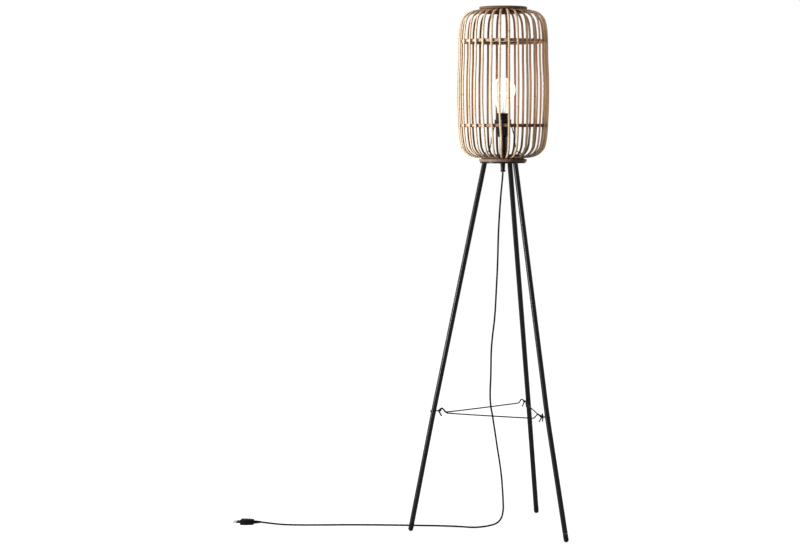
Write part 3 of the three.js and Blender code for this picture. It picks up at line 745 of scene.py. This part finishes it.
rim_stain = stained("dark_rim", ("4a3322", "6c5038", "84674d"), 0.55, 0.18)
base_stain = stained("base_rim", ("5a4736", "8e7867", "b9a08c"), 0.5, 0.18)
liner_stain = stained("dark_liner", ("2c190e", "46291a", "5e3f2c"), 0.6, 0.15)
for name, start, way, liner_height, ease, stain, rim_shade_most, node in (
    ("top_rim", total_height, -1, upper_liner, 0.0024, rim_stain, 0.0, "shade_top_ring"),
    ("base_rim", lower_ring_foot, 1, lower_liner, 0.0014, base_stain, 0.85, "shade_bottom_ring"),
):
    outline = [
        (bore, start),
        (bore, start + way * liner_height),
        (liner, start + way * liner_height),
        (liner, start + way * rim_height),
        (rim, start + way * rim_height),
        (rim, start),
    ]
    ring = ring_of(name, outline, ease, 96)
    wrap_round(ring, rim)
    # Painted shade: the lower rim darkens round the side away from the key lamp.
    rim_shade = ring.data.attributes.new("rim_shade", "FLOAT", "POINT")
    for vertex in ring.data.vertices:
        depth = rim_shade_most * one_sided(turn_of(vertex.co), rim_shade_middle, rim_shade_power)
        rim_shade.data[vertex.index].value = depth
    ring.data.materials.append(stain)
    ring.data.materials.append(liner_stain)
    for face in ring.data.polygons:
        face.material_index = 1 if reach_of(face.center) < liner + hair else 0
    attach(ring, "stand")
    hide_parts(node)


# Slats: thirty strips split from bamboo, pale and smooth on the skin side and brown
# inside. Each is bent over the hoops, and its two ends are glued to the liners.
slat_count = 30
slat_width = 0.0056
slat_thickness = 0.0036
slat_crown = 0.0011
slat_corner = 0.0009
slat_root = 0.0533
slat_start_turn = -2.0
slat_nudges = [
    0.6, 0.3, 0.5, 1.2, -0.6, 3, 2.3, 1.4, 0.7, -0.4, 0.7, 0.8, 0.6, 0.2, -1.5,
    1.4, 1, 0.5, 1.5, 3.4, 4.5, 2.8, 1.7, 1.5, 0.4, 0.2, -0.2, 0.8, 0.4, -0.5,
]
foot_nudges = [
    -2, 0, 0, 0, 0, 0, 0, 0, 0, 0, 0, 0, 0, 0, 0,
    0, 0, 0, 0, 0, 0, 1, 2, 1.6, 1.8, 0.2, 0, 0.5, 1.6, 0.5,
]
nudge_starts = [0.36] * 27 + [0.15] * 3
nudge_full_share = 0.28
slat_reach = 0.1139
slat_top = 1.2912
slat_foot = 0.9257
slat_stations = 168
slat_reach_shares = [
    0, 0.373, 0.525, 0.653, 0.81, 0.896, 0.946, 0.962, 1, 0.997, 0.968, 0.943, 0.897, 0.832,
    0.723, 0.559, 0.267, 0,
]
slat_rise_shares = [
    1, 0.992, 0.983, 0.97, 0.939, 0.892, 0.81, 0.67, 0.528, 0.368, 0.238, 0.167, 0.111, 0.069,
    0.043, 0.021, 0.004, 0,
]
width_range = (0.93, 1.05)
most_sway = 0.0006
sway_waves = 18.0
first_knot_range = (0.05, 0.2)
knot_range = (0.14, 0.2)
room_for_third_knot = 0.27
third_knot_range = (0.13, 0.18)
knot_length = 0.0016
knot_widening = 0.05
knot_bulge = 0.1
foot_shade_start = 0.112
foot_shade_full = 0.075
fibre_depth = 0.00012


def clamped(share):
    """A share kept between nothing and one"""
    return min(max(share, 0.0), 1.0)


def slat_turn(count):
    """Where a slat stands round the lamp, in degrees"""
    return slat_start_turn + count * 360 / slat_count + slat_nudges[count]


def foot_turn(count, height):
    """How much further round it stands at a height near its foot, in radians"""
    rise = (height - slat_foot) / (slat_top - slat_foot)
    start = nudge_starts[count]
    low = clamped((start - rise) / (start * (1 - nudge_full_share)))
    return math.radians(foot_nudges[count]) * low * low * (3 - 2 * low)


def slat_line():
    """The middle line of a bent slat, from top to foot, as a curve lying in the XY plane"""
    outside = []
    for reach, rise in zip(slat_reach_shares, slat_rise_shares):
        out = slat_root + (slat_reach - slat_root) * reach
        outside.append(Vector((out, slat_foot + (slat_top - slat_foot) * rise, 0.0)))
    middle = []
    for at, point in enumerate(outside):
        if at in (0, len(outside) - 1):
            inward = Vector((0.0, -1.0 if at == 0 else 1.0, 0.0))
        else:
            along = (outside[at + 1] - outside[at - 1]).normalized()
            inward = Vector((along.y, -along.x, 0.0))
        middle.append(point + inward * slat_thickness / 2)
    line = bent_rod("slat_line", middle, 0.0)
    line.data.resolution_u = 24
    line.data.use_fill_caps = False
    return line


def straight_slat(length):
    """One strip lying along +X, skin side to +Y, with its long corners eased"""
    bpy.ops.object.select_all(action="DESELECT")
    bpy.ops.mesh.primitive_grid_add(x_subdivisions=1, y_subdivisions=6, size=1.0)
    strip = bpy.context.object
    strip.name = "slat"
    strip.dimensions = (length, slat_width, 0.0)
    strip.rotation_euler = (math.pi / 2, 0.0, 0.0)
    strip.location = (length / 2, slat_thickness / 2, 0.0)
    bpy.ops.object.transform_apply()
    edit(strip, "SELECT")
    pull(0.0, -slat_thickness, 0.0)
    bpy.ops.mesh.select_all(action="SELECT")
    bpy.ops.mesh.normals_make_consistent(inside=False)
    pick(
        strip,
        "edges",
        lambda middle, corners: abs(corners[0].x - corners[1].x) > length / 2
        and abs(abs(middle.z) - slat_width / 2) < hair
        and abs(abs(middle.y) - slat_thickness / 2) < hair,
    )
    bpy.ops.mesh.bevel(offset=slat_corner, segments=3, affect="EDGES")
    pick(strip, "edges", lambda middle, corners: abs(corners[0].x - corners[1].x) > length / 2)
    bpy.ops.mesh.subdivide(number_cuts=slat_stations - 1)
    bpy.ops.object.mode_set(mode="OBJECT")
    return strip


line = slat_line()
slat_length = line.data.splines[0].calc_length(resolution=64)
pattern = straight_slat(slat_length)
across = pattern.data.uv_layers.new(name="strip")
across.active_render = True
for loop in pattern.data.loops:
    place = pattern.data.vertices[loop.vertex_index].co
    across.data[loop.index].uv = (place.x, place.z)
skin = pattern.data.attributes.new("skin", "FLOAT", "POINT")
for vertex in pattern.data.vertices:
    depth = vertex.co.y / slat_thickness + 0.5
    skin.data[vertex.index].value = depth
    crown = 1.0 - (2.0 * vertex.co.z / slat_width) ** 2
    vertex.co.y += slat_crown * (crown - 1.0) * depth
bend = pattern.modifiers.new("bend", "CURVE")
bend.object = line
bend.deform_axis = "POS_X"

bamboo, tree, shader = new_finish("split_bamboo", "dcbc8c", 0.55, 0.14)
strip_seed = stored(tree, "strip_seed")
skin_side = stored(tree, "skin")


def fibre(cells, detail, seed_step):
    """Noise drawn out along the strip, different on each strip"""
    spread = tree.nodes.new("ShaderNodeMath")
    spread.operation = "MULTIPLY"
    spread.inputs[1].default_value = seed_step
    tree.links.new(strip_seed, spread.inputs[0])
    return grain(tree, cells, detail, "UV", 0.6, spread.outputs["Value"])


long_streaks = fibre((9, 700, 1), 5.0, 40.0)
fine_streaks = fibre((60, 3200, 1), 3.0, 90.0)
patches = fibre((14, 60, 1), 2.0, 17.0)
skin_colour = ramp(
    tree,
    long_streaks,
    [(0.28, "cfa97f"), (0.42, "e9cca6"), (0.55, "f7e2c3"), (0.72, "fdeed5")],
)
skin_patches = ramp(tree, patches, [(0.35, "dbb88d"), (0.6, "f9e6c9")])
skin_colour = blended(tree, 0.35, skin_colour, skin_patches)
edge_colour = ramp(tree, fine_streaks, [(0.3, "937152"), (0.7, "caa881")])
inner_colour = ramp(tree, long_streaks, [(0.3, "523b2b"), (0.5, "70513b"), (0.7, "8d6c53")])
# Painted shade: the inner faces turn darker brown near the foot, low in the cage.
inner_foot_shade = ramp(tree, long_streaks, [(0.3, "2b2019"), (0.5, "3f3026"), (0.7, "553f30")])
along_strip = tree.nodes.new("ShaderNodeTexCoord")
along_only = tree.nodes.new("ShaderNodeSeparateXYZ")
near_foot = tree.nodes.new("ShaderNodeMapRange")
near_foot.inputs["From Min"].default_value = slat_length - foot_shade_start
near_foot.inputs["From Max"].default_value = slat_length - foot_shade_full
tree.links.new(along_strip.outputs["UV"], along_only.inputs["Vector"])
tree.links.new(along_only.outputs["X"], near_foot.inputs["Value"])
inner_colour = blended(tree, near_foot.outputs["Result"], inner_colour, inner_foot_shade)
to_skin = ramp(tree, skin_side, [(0.62, "000000"), (0.9, "ffffff")])
to_inner = ramp(tree, skin_side, [(0.1, "ffffff"), (0.45, "000000")])
knot_tone = ramp(tree, stored(tree, "knot"), [(0.2, "ffffff"), (0.9, "d8c4b2")])
colour = blended(tree, to_inner, edge_colour, inner_colour)
colour = blended(tree, to_skin, colour, skin_colour)
colour = blended(tree, 1.0, colour, knot_tone, "MULTIPLY")
tree.links.new(colour, shader.inputs["Base Color"])
relief(tree, shader, fine_streaks, fibre_depth)

random.seed(7)
for count in range(slat_count):
    only(pattern)
    bpy.ops.object.duplicate(linked=False)
    slat = bpy.context.object
    slat.name = f"slat_{count + 1:02d}"
    seed = slat.data.attributes.new("strip_seed", "FLOAT", "POINT")
    seed.data.foreach_set("value", [random.random()] * len(slat.data.vertices))
    knot = slat.data.attributes.new("knot", "FLOAT", "POINT")
    width = random.uniform(*width_range)
    sway = random.uniform(-most_sway, most_sway)
    phase = random.uniform(0.0, 2 * math.pi)
    first = random.uniform(*first_knot_range)
    knots = [first, first + random.uniform(*knot_range)]
    if knots[1] < room_for_third_knot:
        knots.append(knots[1] + random.uniform(*third_knot_range))
    for vertex in slat.data.vertices:
        along = vertex.co.x
        near = max(math.exp(-(((along - place) / knot_length) ** 2)) for place in knots)
        knot.data[vertex.index].value = near
        vertex.co.z *= width * (1.0 + knot_widening * near)
        vertex.co.y *= 1.0 + knot_bulge * near * skin.data[vertex.index].value
        ease_off = math.sin(math.pi * along / slat_length)
        vertex.co.z += sway * ease_off * math.sin(along * sway_waves + phase)
    bpy.ops.object.modifier_apply(modifier="bend")
    slat.rotation_euler = (math.pi / 2, 0.0, 0.0)
    bpy.ops.object.transform_apply()
    for vertex in slat.data.vertices:
        place = vertex.co.copy()
        place.rotate(Euler((0.0, 0.0, foot_turn(count, place.z))))
        vertex.co = place
    slat.rotation_euler = (0.0, 0.0, math.radians(slat_turn(count)))
    slat.location = axis
    bpy.ops.object.transform_apply()
    bpy.ops.object.shade_smooth_by_angle(angle=math.radians(50))
    slat.data.materials.append(bamboo)
    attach(slat, "stand")
    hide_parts(f"rib_{count + 1:02d}")
bpy.data.objects.remove(pattern)
bpy.data.objects.remove(line)


# Hoops: two rods of round cane bent to a circle just inside the slats. Beside each slat,
# on one side only, a dark patch is painted on the cane as that slat's shadow.
hoop_thickness = 0.0080
unevenness = 0.0003
uneven_waves = 3.0
uneven_shift = 90.0
side_shade_middle = -0.15
side_shade_power = 1.7
slat_shadow_start = 0.0030
slat_shadow_full = 0.0038
slat_shadow_end = 0.0072
slat_shadow_inner_edge = -0.1
cane, tree, shader = new_finish("round_cane", "b98752", 0.55, 0.14)
streaks = grain(tree, (26, 600, 1), 5.0, "UV", 0.65)
cane_skin = ramp(tree, streaks, [(0.3, "c7a283"), (0.5, "e6c8ae"), (0.7, "f2dcc6")])
# Darker cane for painted shade round the side of the lamp away from the key lamp.
cane_painted_shade = ramp(tree, streaks, [(0.3, "3d2214"), (0.5, "603a25"), (0.7, "7a4f34")])
# The cane's inner half, facing into the cage, is painted darker as shade.
cane_inner_shade = ramp(tree, streaks, [(0.3, "38261b"), (0.5, "553d2d"), (0.7, "70543f")])
# Dark brown for the painted shadow of each slat on the cane.
painted_slat_shadow = ramp(tree, streaks, [(0.3, "2c1910"), (0.7, "4a2c1d")])
to_cane_skin = ramp(tree, stored(tree, "skin"), [(0.35, "000000"), (0.6, "ffffff")])
cane_skin = blended(tree, stored(tree, "side_shade"), cane_skin, cane_painted_shade)
cane_colour = blended(tree, to_cane_skin, cane_inner_shade, cane_skin)
cane_colour = blended(tree, stored(tree, "slat_shadow"), cane_colour, painted_slat_shadow)
tree.links.new(cane_colour, shader.inputs["Base Color"])
relief(tree, shader, grain(tree, (60, 2600, 1), 3.0, "UV"), ridge_depth)
for name, node, side_shade_most in (
    ("upper_cane_hoop", "upper_hoop", 0.2),
    ("lower_cane_hoop", "lower_hoop", 0.95),
):
    low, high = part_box(node)
    reach = (high.x - low.x - hoop_thickness) / 2
    bpy.ops.object.select_all(action="DESELECT")
    bpy.ops.mesh.primitive_torus_add(
        location=(axis.x, axis.y, (low.z + high.z) / 2),
        major_radius=reach,
        minor_radius=hoop_thickness / 2,
        major_segments=480,
        minor_segments=20,
    )
    hoop = bpy.context.object
    hoop.name = name
    close_up(hoop, 60.0)
    for kind in ("skin", "side_shade", "slat_shadow"):
        hoop.data.attributes.new(kind, "FLOAT", "POINT")
    outer, side_shade, slat_shadow = (hoop.data.attributes[kind].data for kind in ("skin", "side_shade", "slat_shadow"))
    slat_turns = [
        math.radians(slat_turn(count)) + foot_turn(count, low.z) for count in range(slat_count)
    ]
    for vertex in hoop.data.vertices:
        turn = turn_of(vertex.co)
        out_share = (reach_of(vertex.co) - reach) / hoop_thickness
        outer[vertex.index].value = out_share + 0.5
        # Painted shade: the cane darkens round one side, most on the lower hoop.
        side_shade[vertex.index].value = side_shade_most * one_sided(turn, side_shade_middle, side_shade_power)
        # Painted slat shadow: a dark patch just past one side of each slat, on the cane's outer
        # part.
        past = min(((turn - start) % (2 * math.pi)) * reach for start in slat_turns)
        on = clamped((past - slat_shadow_start) / (slat_shadow_full - slat_shadow_start))
        off = clamped(2.0 * clamped((slat_shadow_end - past) / (slat_shadow_end - slat_shadow_full)))
        slat_shadow[vertex.index].value = on * off * (out_share > slat_shadow_inner_edge)
        out = Vector((math.cos(turn), math.sin(turn), 0.0))
        wave = math.sin(turn * uneven_waves + reach * uneven_shift)
        vertex.co -= out * unevenness * (1.0 + wave) / 2
    wrap_round(hoop, reach)
    hoop.data.materials.append(cane)
    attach(hoop, "stand")
    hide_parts(node)


# Stem: a black steel tube that stands on the plate, carries the lamp holder and brings
# the cord up inside it.
stem_foot = 0.9169
stem_top = 0.9767
stem_radius = 0.0082
stem_bore = 0.0036
spigot_radius = 0.0050
stem_lip = stem_foot + 0.0063
spigot_top = stem_top + 0.007
stem_outline = [
    (plate_hole, stem_foot),
    (stem_radius, stem_foot),
    (stem_radius, stem_top),
    (spigot_radius, stem_top),
    (spigot_radius, spigot_top),
    (stem_bore, spigot_top),
    (stem_bore, stem_lip),
    (plate_hole, stem_lip),
]
stem = ring_of("stem_post", stem_outline, 0.0005, 48)
stem_black = mottled(
    "stem_black", "100c0a", 0.35, 0.1,
    tones=[(0.35, "0d0908"), (0.65, "15100e")], cells=(200, 200, 60), pits=900,
    pit_depth=0.00001,
)
stem.data.materials.append(stem_black)
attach(stem, "stand")
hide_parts("stem_tube")


# Lamp holder: a black moulded dome on the stem and a threaded skirt above it, for a
# screw bulb. Fine rings run round the skirt where its own nut screws down.
dome_foot = 0.9770
dome_top = 1.0030
holder_radius = 0.0176
holder_bore = 0.0153
skirt_foot = 1.0033
skirt_top = 1.0364
flange_radius = 0.0202
dome_shell = 0.0016
dome_steps = 12
dome_neck = 0.0086
dome_bulge = 0.9
flange_top = skirt_foot + 0.003
thread_foot = 1.0215
thread_count = 5
thread_step = 0.0028
thread_cut = 0.0006
outer_dome = []
for step in range(dome_steps + 1):
    swing = step / dome_steps * math.pi / 2
    rise = 1.0 - math.cos(swing) ** dome_bulge if step < dome_steps else 1.0
    reach = dome_neck + (holder_radius - dome_neck) * math.sin(swing)
    outer_dome.append((reach, dome_foot + (dome_top - dome_foot) * rise))
inner_dome = [
    (max(reach - dome_shell, spigot_radius + fit_gap), min(height + dome_shell, dome_top))
    for reach, height in reversed(outer_dome)
]
hole = (spigot_radius + fit_gap, dome_foot)
dome = turned("holder_dome", [hole] + outer_dome + inner_dome + [hole], 72, 40.0)
skirt_outline = [
    (holder_bore, skirt_foot),
    (flange_radius, skirt_foot),
    (flange_radius, flange_top),
    (holder_radius, flange_top),
]
for turn in range(thread_count):
    for step, cut in enumerate((0.0, thread_cut, thread_cut, 0.0)):
        level = thread_foot + turn * thread_step + step * thread_cut
        skirt_outline.append((holder_radius - cut, level))
skirt_outline += [(holder_radius, skirt_top), (holder_bore, skirt_top)]
skirt = ring_of("holder_barrel", skirt_outline, 0.0006)
for piece, node in ((dome, "holder_cap"), (skirt, "holder_skirt")):
    piece.data.materials.append(moulding)
    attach(piece, "stand")
    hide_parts(node)


# Shade spider: a stamped washer that sits on the holder's flange, with three bent wires
# down to the lower liner.
washer_radius = 0.0230
washer_foot = 1.0066
washer_top = 1.0086
nut_bore = 0.0179
arm_radius = 0.00125
arm_root = washer_radius - arm_radius
arm_root_height = (washer_foot + washer_top) / 2
arm_tip = (bore + liner) / 2
arm_tip_height = lower_ring_foot + lower_liner + fit_gap
arm_reach_shares = [
    0, 0.113, 0.217, 0.321, 0.385, 0.41, 0.479, 0.563, 0.714, 0.866, 0.945, 0.985, 1, 1,
]
arm_rise_shares = [
    1, 0.92, 0.798, 0.667, 0.54, 0.391, 0.276, 0.153, 0.085, 0.06, 0.053, 0.042, 0.02, 0,
]
arm_first_turn = 50
washer_outline = [
    (nut_bore, washer_foot),
    (washer_radius, washer_foot),
    (washer_radius, washer_top),
    (nut_bore, washer_top),
]
wires = [ring_of("spider_washer", washer_outline, 0.0005)]
for count in range(3):
    points = []
    for reach, rise in zip(arm_reach_shares, arm_rise_shares):
        out = arm_root + (arm_tip - arm_root) * reach
        height = arm_tip_height + (arm_root_height - arm_tip_height) * rise
        points.append(out_from_axis(arm_first_turn + 120 * count, out, height))
    wires.append(made_mesh(bent_rod(f"arm_{count}", points, arm_radius, 4)))
spider = joined(wires, "spider_wires")
bpy.ops.object.shade_smooth_by_angle(angle=math.radians(35))
spider.data.materials.append(wire_steel)
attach(spider, "stand")
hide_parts("shade_spider")


# Ring nut: a black moulded ring with finger flutes. It screws down on the holder and
# clamps the spider, and turns on its own joint.
nut_foot = 1.0089
nut_tall = 0.0120
nut_reach = 0.0208
flutes = 24
flute_depth = 0.00035
nut_chamfer = 0.0008
chamfer_share = 0.98
bpy.ops.object.select_all(action="DESELECT")
bpy.ops.mesh.primitive_circle_add(
    vertices=flutes * 8, radius=nut_reach, location=(axis.x, axis.y, nut_foot)
)
nut = bpy.context.object
nut.name = "holder_nut"
bpy.ops.object.transform_apply()
for vertex in nut.data.vertices:
    turn = turn_of(vertex.co)
    reach = nut_reach - flute_depth * (1.0 - math.cos(turn * flutes)) ** 2 / 2
    vertex.co = out_from_axis(math.degrees(turn), reach, nut_foot)
edit(nut, "SELECT")
# How far each ring of edges is drawn up, and how it then spreads. The first is the circle.
steps = [
    (None, chamfer_share),
    (nut_chamfer, 1.02),
    (nut_tall - nut_chamfer * 2, 1.0),
    (nut_chamfer, chamfer_share),
    (0.0, nut_bore / (nut_reach * chamfer_share)),
    (-nut_tall, 1.0),
]
for rise, grow in steps:
    if rise is not None:
        pull(0.0, 0.0, rise)
    bpy.ops.transform.resize(value=(grow, grow, 1.0), center_override=(axis.x, axis.y, nut_foot))
wall_middle = nut_bore + 0.0006
pick(
    nut,
    "edges",
    lambda middle, corners: all(abs(c.z - nut_foot) < 0.00001 for c in corners)
    and len({reach_of(c) < wall_middle for c in corners}) == 1,
)
bpy.ops.mesh.bridge_edge_loops()
bpy.ops.object.mode_set(mode="OBJECT")
close_up(nut)
nut.data.materials.append(moulding)
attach(nut, "ring_nut")
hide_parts("holder_ring_nut")


# Socket insert and bulb contact: the CAD model's own pieces, deep inside the holder, in
# pressed brass and bright tin.
socket_brass = mottled(
    "socket_brass", "b8924e", 0.32,
    tones=[(0.3, "9c7838"), (0.7, "c8a35e")], cells=(90, 90, 240), pits=400,
    pit_depth=0.00004, metal=1.0,
)
contact_tin = mottled("contact_tin", "b4b2ab", 0.3, pits=500, pit_depth=0.00004, metal=1.0)
for node, finish in (("holder_insert", socket_brass), ("bulb_contact", contact_tin)):
    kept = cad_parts[node]
    kept.data.materials.clear()
    kept.data.materials.append(finish)


# Bulb: a clear household bulb, lit. Its threaded cap sits deep in the holder, and the
# thin glass swells from the neck to its widest place near the top.
cap_foot = 1.0128
cap_radius = 0.0131
thread_depth = 0.0007
thread_pitch = 0.00362
glass_foot = 1.0340
glass_height = 0.0903
glass_wall = 0.0009
glass_bend = 1.45
glass_glow = 0.13
crown_flatness = 0.0045
thread_turns = 4
first_thread = cap_foot + 0.0034
cap_top = first_thread + thread_turns * thread_pitch + 0.003
cap_outline = [
    (0.0, cap_foot),
    (0.0055, cap_foot),
    (0.0060, cap_foot + 0.0005),
    (cap_radius - thread_depth - 0.0008, cap_foot + 0.0028),
    (cap_radius - thread_depth, first_thread),
]
for turn in range(thread_turns):
    for step in range(1, 7):
        bulge = thread_depth * math.sin(math.pi * step / 6)
        level = first_thread + thread_pitch * (turn + step / 6)
        cap_outline.append((cap_radius - thread_depth + bulge, level))
cap_outline += [(cap_radius, cap_top - 0.0024), (cap_radius, cap_top), (0.0, cap_top)]
bulb_cap = turned("bulb_screw_cap", cap_outline, 64, 60.0)
cap_metal = mottled(
    "bulb_cap_metal", "b7b5ae", 0.28,
    tones=[(0.3, "98968f"), (0.7, "c6c4bc")], cells=(150, 150, 60), pits=600,
    pit_depth=0.00004, metal=1.0,
)
bulb_cap.data.materials.append(cap_metal)
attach(bulb_cap, "bulb")
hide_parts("bulb_cap")

glass_reach = [
    0.0131, 0.0138, 0.0160, 0.0210, 0.0270, 0.0302, 0.0310, 0.0299, 0.0265, 0.02046, 0.0120, 0.0,
]
glass_rise_shares = [0, 0.091, 0.206, 0.343, 0.48, 0.583, 0.657, 0.754, 0.84, 0.92, 0.975, 1]
profile = [
    Vector((reach, glass_foot + glass_height * rise, 0.0))
    for reach, rise in zip(glass_reach, glass_rise_shares)
]
profile_curve = bent_rod("glass_profile", profile, 0.0)
knots = profile_curve.data.splines[0].bezier_points
knots[-1].handle_left_type = "FREE"
knots[-1].handle_left = profile[-1] + Vector((crown_flatness, 0.0, 0.0))
profile_curve.data.resolution_u = 5
bpy.ops.object.convert(target="MESH")
profile_mesh = bpy.context.object
outer_glass = [(max(v.co.x, 0.0), v.co.y) for v in profile_mesh.data.vertices]
outer_glass[-1] = (0.0, glass_foot + glass_height)
bpy.data.objects.remove(profile_mesh)
inner_glass = []
for at, (reach, height) in enumerate(outer_glass):
    before = Vector(outer_glass[max(at - 1, 0)])
    after = Vector(outer_glass[min(at + 1, len(outer_glass) - 1)])
    along = (after - before).normalized()
    inner_glass.append((max(reach - along.y * glass_wall, 0.0), height + along.x * glass_wall))
inner_glass[0] = (outer_glass[0][0] - glass_wall, outer_glass[0][1])
inner_glass[-1] = (0.0, glass_foot + glass_height - glass_wall)
glass = turned("bulb_envelope", outer_glass + inner_glass[::-1] + outer_glass[:1], 72, 80.0)
lit_glass, tree, shader = new_finish("lit_clear_glass", "fffaf0", 0.0)
shader.inputs["Transmission Weight"].default_value = 1.0
shader.inputs["IOR"].default_value = glass_bend
shader.inputs["Emission Color"].default_value = chart("fffaf4")
shader.inputs["Emission Strength"].default_value = glass_glow
glass.data.materials.append(lit_glass)
glass.visible_shadow = False
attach(glass, "bulb")
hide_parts("bulb_glass")


# Filament: a glass mount in the neck, two thin leads and a bright zigzag between them.
mount_top = glass_foot + glass_height * 0.30
filament_height = glass_foot + glass_height * 0.60
filament_reach = 0.0120
filament_drop = 0.004
filament_bends = 8
filament_glow = 0.9
filament_radius = 0.0002
lead_radius = 0.0003
mount_middle = (glass_foot + mount_top) / 2
mount_outline = [
    (0.0, glass_foot),
    (0.0055, glass_foot),
    (0.0022, mount_middle),
    (0.0020, mount_top - 0.001),
    (0.0026, mount_top),
    (0.0, mount_top + 0.0006),
]
mount = turned("glass_mount", eased(mount_outline, 0.0008, closed=False), 32, 60.0)
lead_route = [
    (0.0008, mount_middle),
    (0.0014, mount_top),
    (0.0050, mount_top + 0.010),
    (filament_reach, filament_height),
]
leads = []
for side in (-1, 1):
    points = [Vector((axis.x + side * reach, axis.y, height)) for reach, height in lead_route]
    leads.append(made_mesh(bent_rod("lead", points, lead_radius, 3)))
zigzag = []
for step in range(filament_bends + 1):
    reach = -filament_reach + step * filament_reach * 2 / filament_bends
    drop = 0.0 if step % 2 == 0 else filament_drop
    zigzag.append(Vector((axis.x + reach, axis.y, filament_height - drop)))
glow_wire = made_mesh(bent_rod("glow_wire", zigzag, filament_radius, 3))
clear_mount, tree, shader = new_finish("mount_glass", "b8b4b0", 0.02)
shader.inputs["Transmission Weight"].default_value = 1.0
lead_metal, tree, shader = new_finish("lead_wire", "b4b4b2", 0.3)
shader.inputs["Metallic"].default_value = 1.0
glow, tree, shader = new_finish("glowing_wire", "fff2d8", 0.5)
shader.inputs["Emission Color"].default_value = chart("fff8ee")
shader.inputs["Emission Strength"].default_value = filament_glow
mount.data.materials.append(clear_mount)
leads_piece = joined(leads, "filament_leads")
leads_piece.data.materials.append(lead_metal)
glow_wire.data.materials.append(glow)
for piece in (mount, leads_piece, glow_wire):
    piece.visible_shadow = False
    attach(piece, "bulb")
    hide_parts("filament")


# Studio: a white floor in a white room, a key lamp and a weaker side lamp from the left,
# a warm fill from the right, and the bulb's own light.
floor_near = 0.35
floor_far = 1.2
near_brightness = 0.82
shadow_tone = 0.45
floor_size = 24.0
floor_height = -0.0003
room_light = 0.06
bulb_height = 1.09


def set_lamp(name, kind, place, energy, size, aim_height, colour):
    """One studio lamp, turned towards a height on the lamp's axis"""
    bpy.ops.object.light_add(type=kind, location=place)
    lamp = bpy.context.object
    lamp.name = name
    lamp.data.energy = energy
    lamp.data.color = chart(colour)[:3]
    aim = Vector((axis.x, axis.y, aim_height))
    lamp.rotation_euler = (aim - Vector(place)).to_track_quat("-Z", "Y").to_euler()
    if kind == "AREA":
        lamp.data.size = size
    else:
        lamp.data.shadow_soft_size = size
    return lamp


def round_camera(turn, reach, height):
    """A place round the lamp, with turns counted from the camera's side to the right"""
    angle = camera_side + math.radians(turn)
    return Vector((axis.x + reach * math.sin(angle), axis.y - reach * math.cos(angle), height))


def told_apart(tree, lighting, seen, output):
    """Shows the camera, reflections and glass one shader, and lights the lamp with the other"""
    rays = tree.nodes.new("ShaderNodeLightPath")
    looked_at = rays.outputs["Is Camera Ray"]
    for kind in ("Is Glossy Ray", "Is Transmission Ray"):
        larger = tree.nodes.new("ShaderNodeMath")
        larger.operation = "MAXIMUM"
        tree.links.new(looked_at, larger.inputs[0])
        tree.links.new(rays.outputs[kind], larger.inputs[1])
        looked_at = larger.outputs["Value"]
    either = tree.nodes.new("ShaderNodeMixShader")
    tree.links.new(looked_at, either.inputs["Fac"])
    tree.links.new(lighting, either.inputs[1])
    tree.links.new(seen, either.inputs[2])
    tree.links.new(either.outputs["Shader"], tree.nodes[output].inputs["Surface"])


for name, place, energy, size, aim_height, colour in (
    ("key_lamp", round_camera(-62, 3.2, 0.95), 130, 0.5, 0.9, "ffffff"),
    ("side_lamp", round_camera(-110, 3.0, 1.9), 34, 0.7, 0.8, "ffffff"),
    ("fill_lamp", round_camera(72, 3.2, 3.0), 38, 1.4, 1.1, "ffddc6"),
):
    set_lamp(name, "AREA", place, energy, size, aim_height, colour)
bulb_middle = (axis.x, axis.y, bulb_height)
bulb_glow = set_lamp("bulb_glow", "POINT", bulb_middle, 0.85, 0.02, 0.0, "ffeedb")
bulb_glow.visible_glossy = False
bulb_glow.visible_transmission = False

bpy.ops.mesh.primitive_plane_add(size=floor_size, location=(axis.x, axis.y, floor_height))
floor = bpy.context.object
floor.name = "studio_floor"
floor_paint, tree, shader = new_finish("studio_white", "606060", 0.9, 0.0)
# The white is a little weaker near the lamp, and its soft shadow shows in the dull paint.
white_light = tree.nodes.new("ShaderNodeEmission")
place = tree.nodes.new("ShaderNodeTexCoord")
far_off = tree.nodes.new("ShaderNodeVectorMath")
far_off.operation = "LENGTH"
brighter = tree.nodes.new("ShaderNodeMapRange")
brighter.inputs["From Min"].default_value = floor_near
brighter.inputs["From Max"].default_value = floor_far
brighter.inputs["To Min"].default_value = near_brightness
brighter.inputs["To Max"].default_value = 1.0
tree.links.new(place.outputs["Object"], far_off.inputs[0])
tree.links.new(far_off.outputs["Value"], brighter.inputs["Value"])
tree.links.new(brighter.outputs["Result"], white_light.inputs["Strength"])
soft_white = tree.nodes.new("ShaderNodeBsdfDiffuse")
soft_white.inputs["Color"].default_value = (shadow_tone, shadow_tone, shadow_tone, 1.0)
shown = tree.nodes.new("ShaderNodeAddShader")
tree.links.new(white_light.outputs["Emission"], shown.inputs[0])
tree.links.new(soft_white.outputs["BSDF"], shown.inputs[1])
told_apart(tree, shader.outputs["BSDF"], shown.outputs["Shader"], "Material Output")
floor.data.materials.append(floor_paint)

world = bpy.data.worlds.new("studio")
bpy.context.scene.world = world
world.use_nodes = True
tree = world.node_tree
room = tree.nodes["Background"]
room.inputs["Color"].default_value = chart("fff6ec")
room.inputs["Strength"].default_value = room_light
backdrop = tree.nodes.new("ShaderNodeBackground")
backdrop.inputs["Color"].default_value = (1.0, 1.0, 1.0, 1.0)
told_apart(tree, room.outputs["Background"], backdrop.outputs["Background"], "World Output")
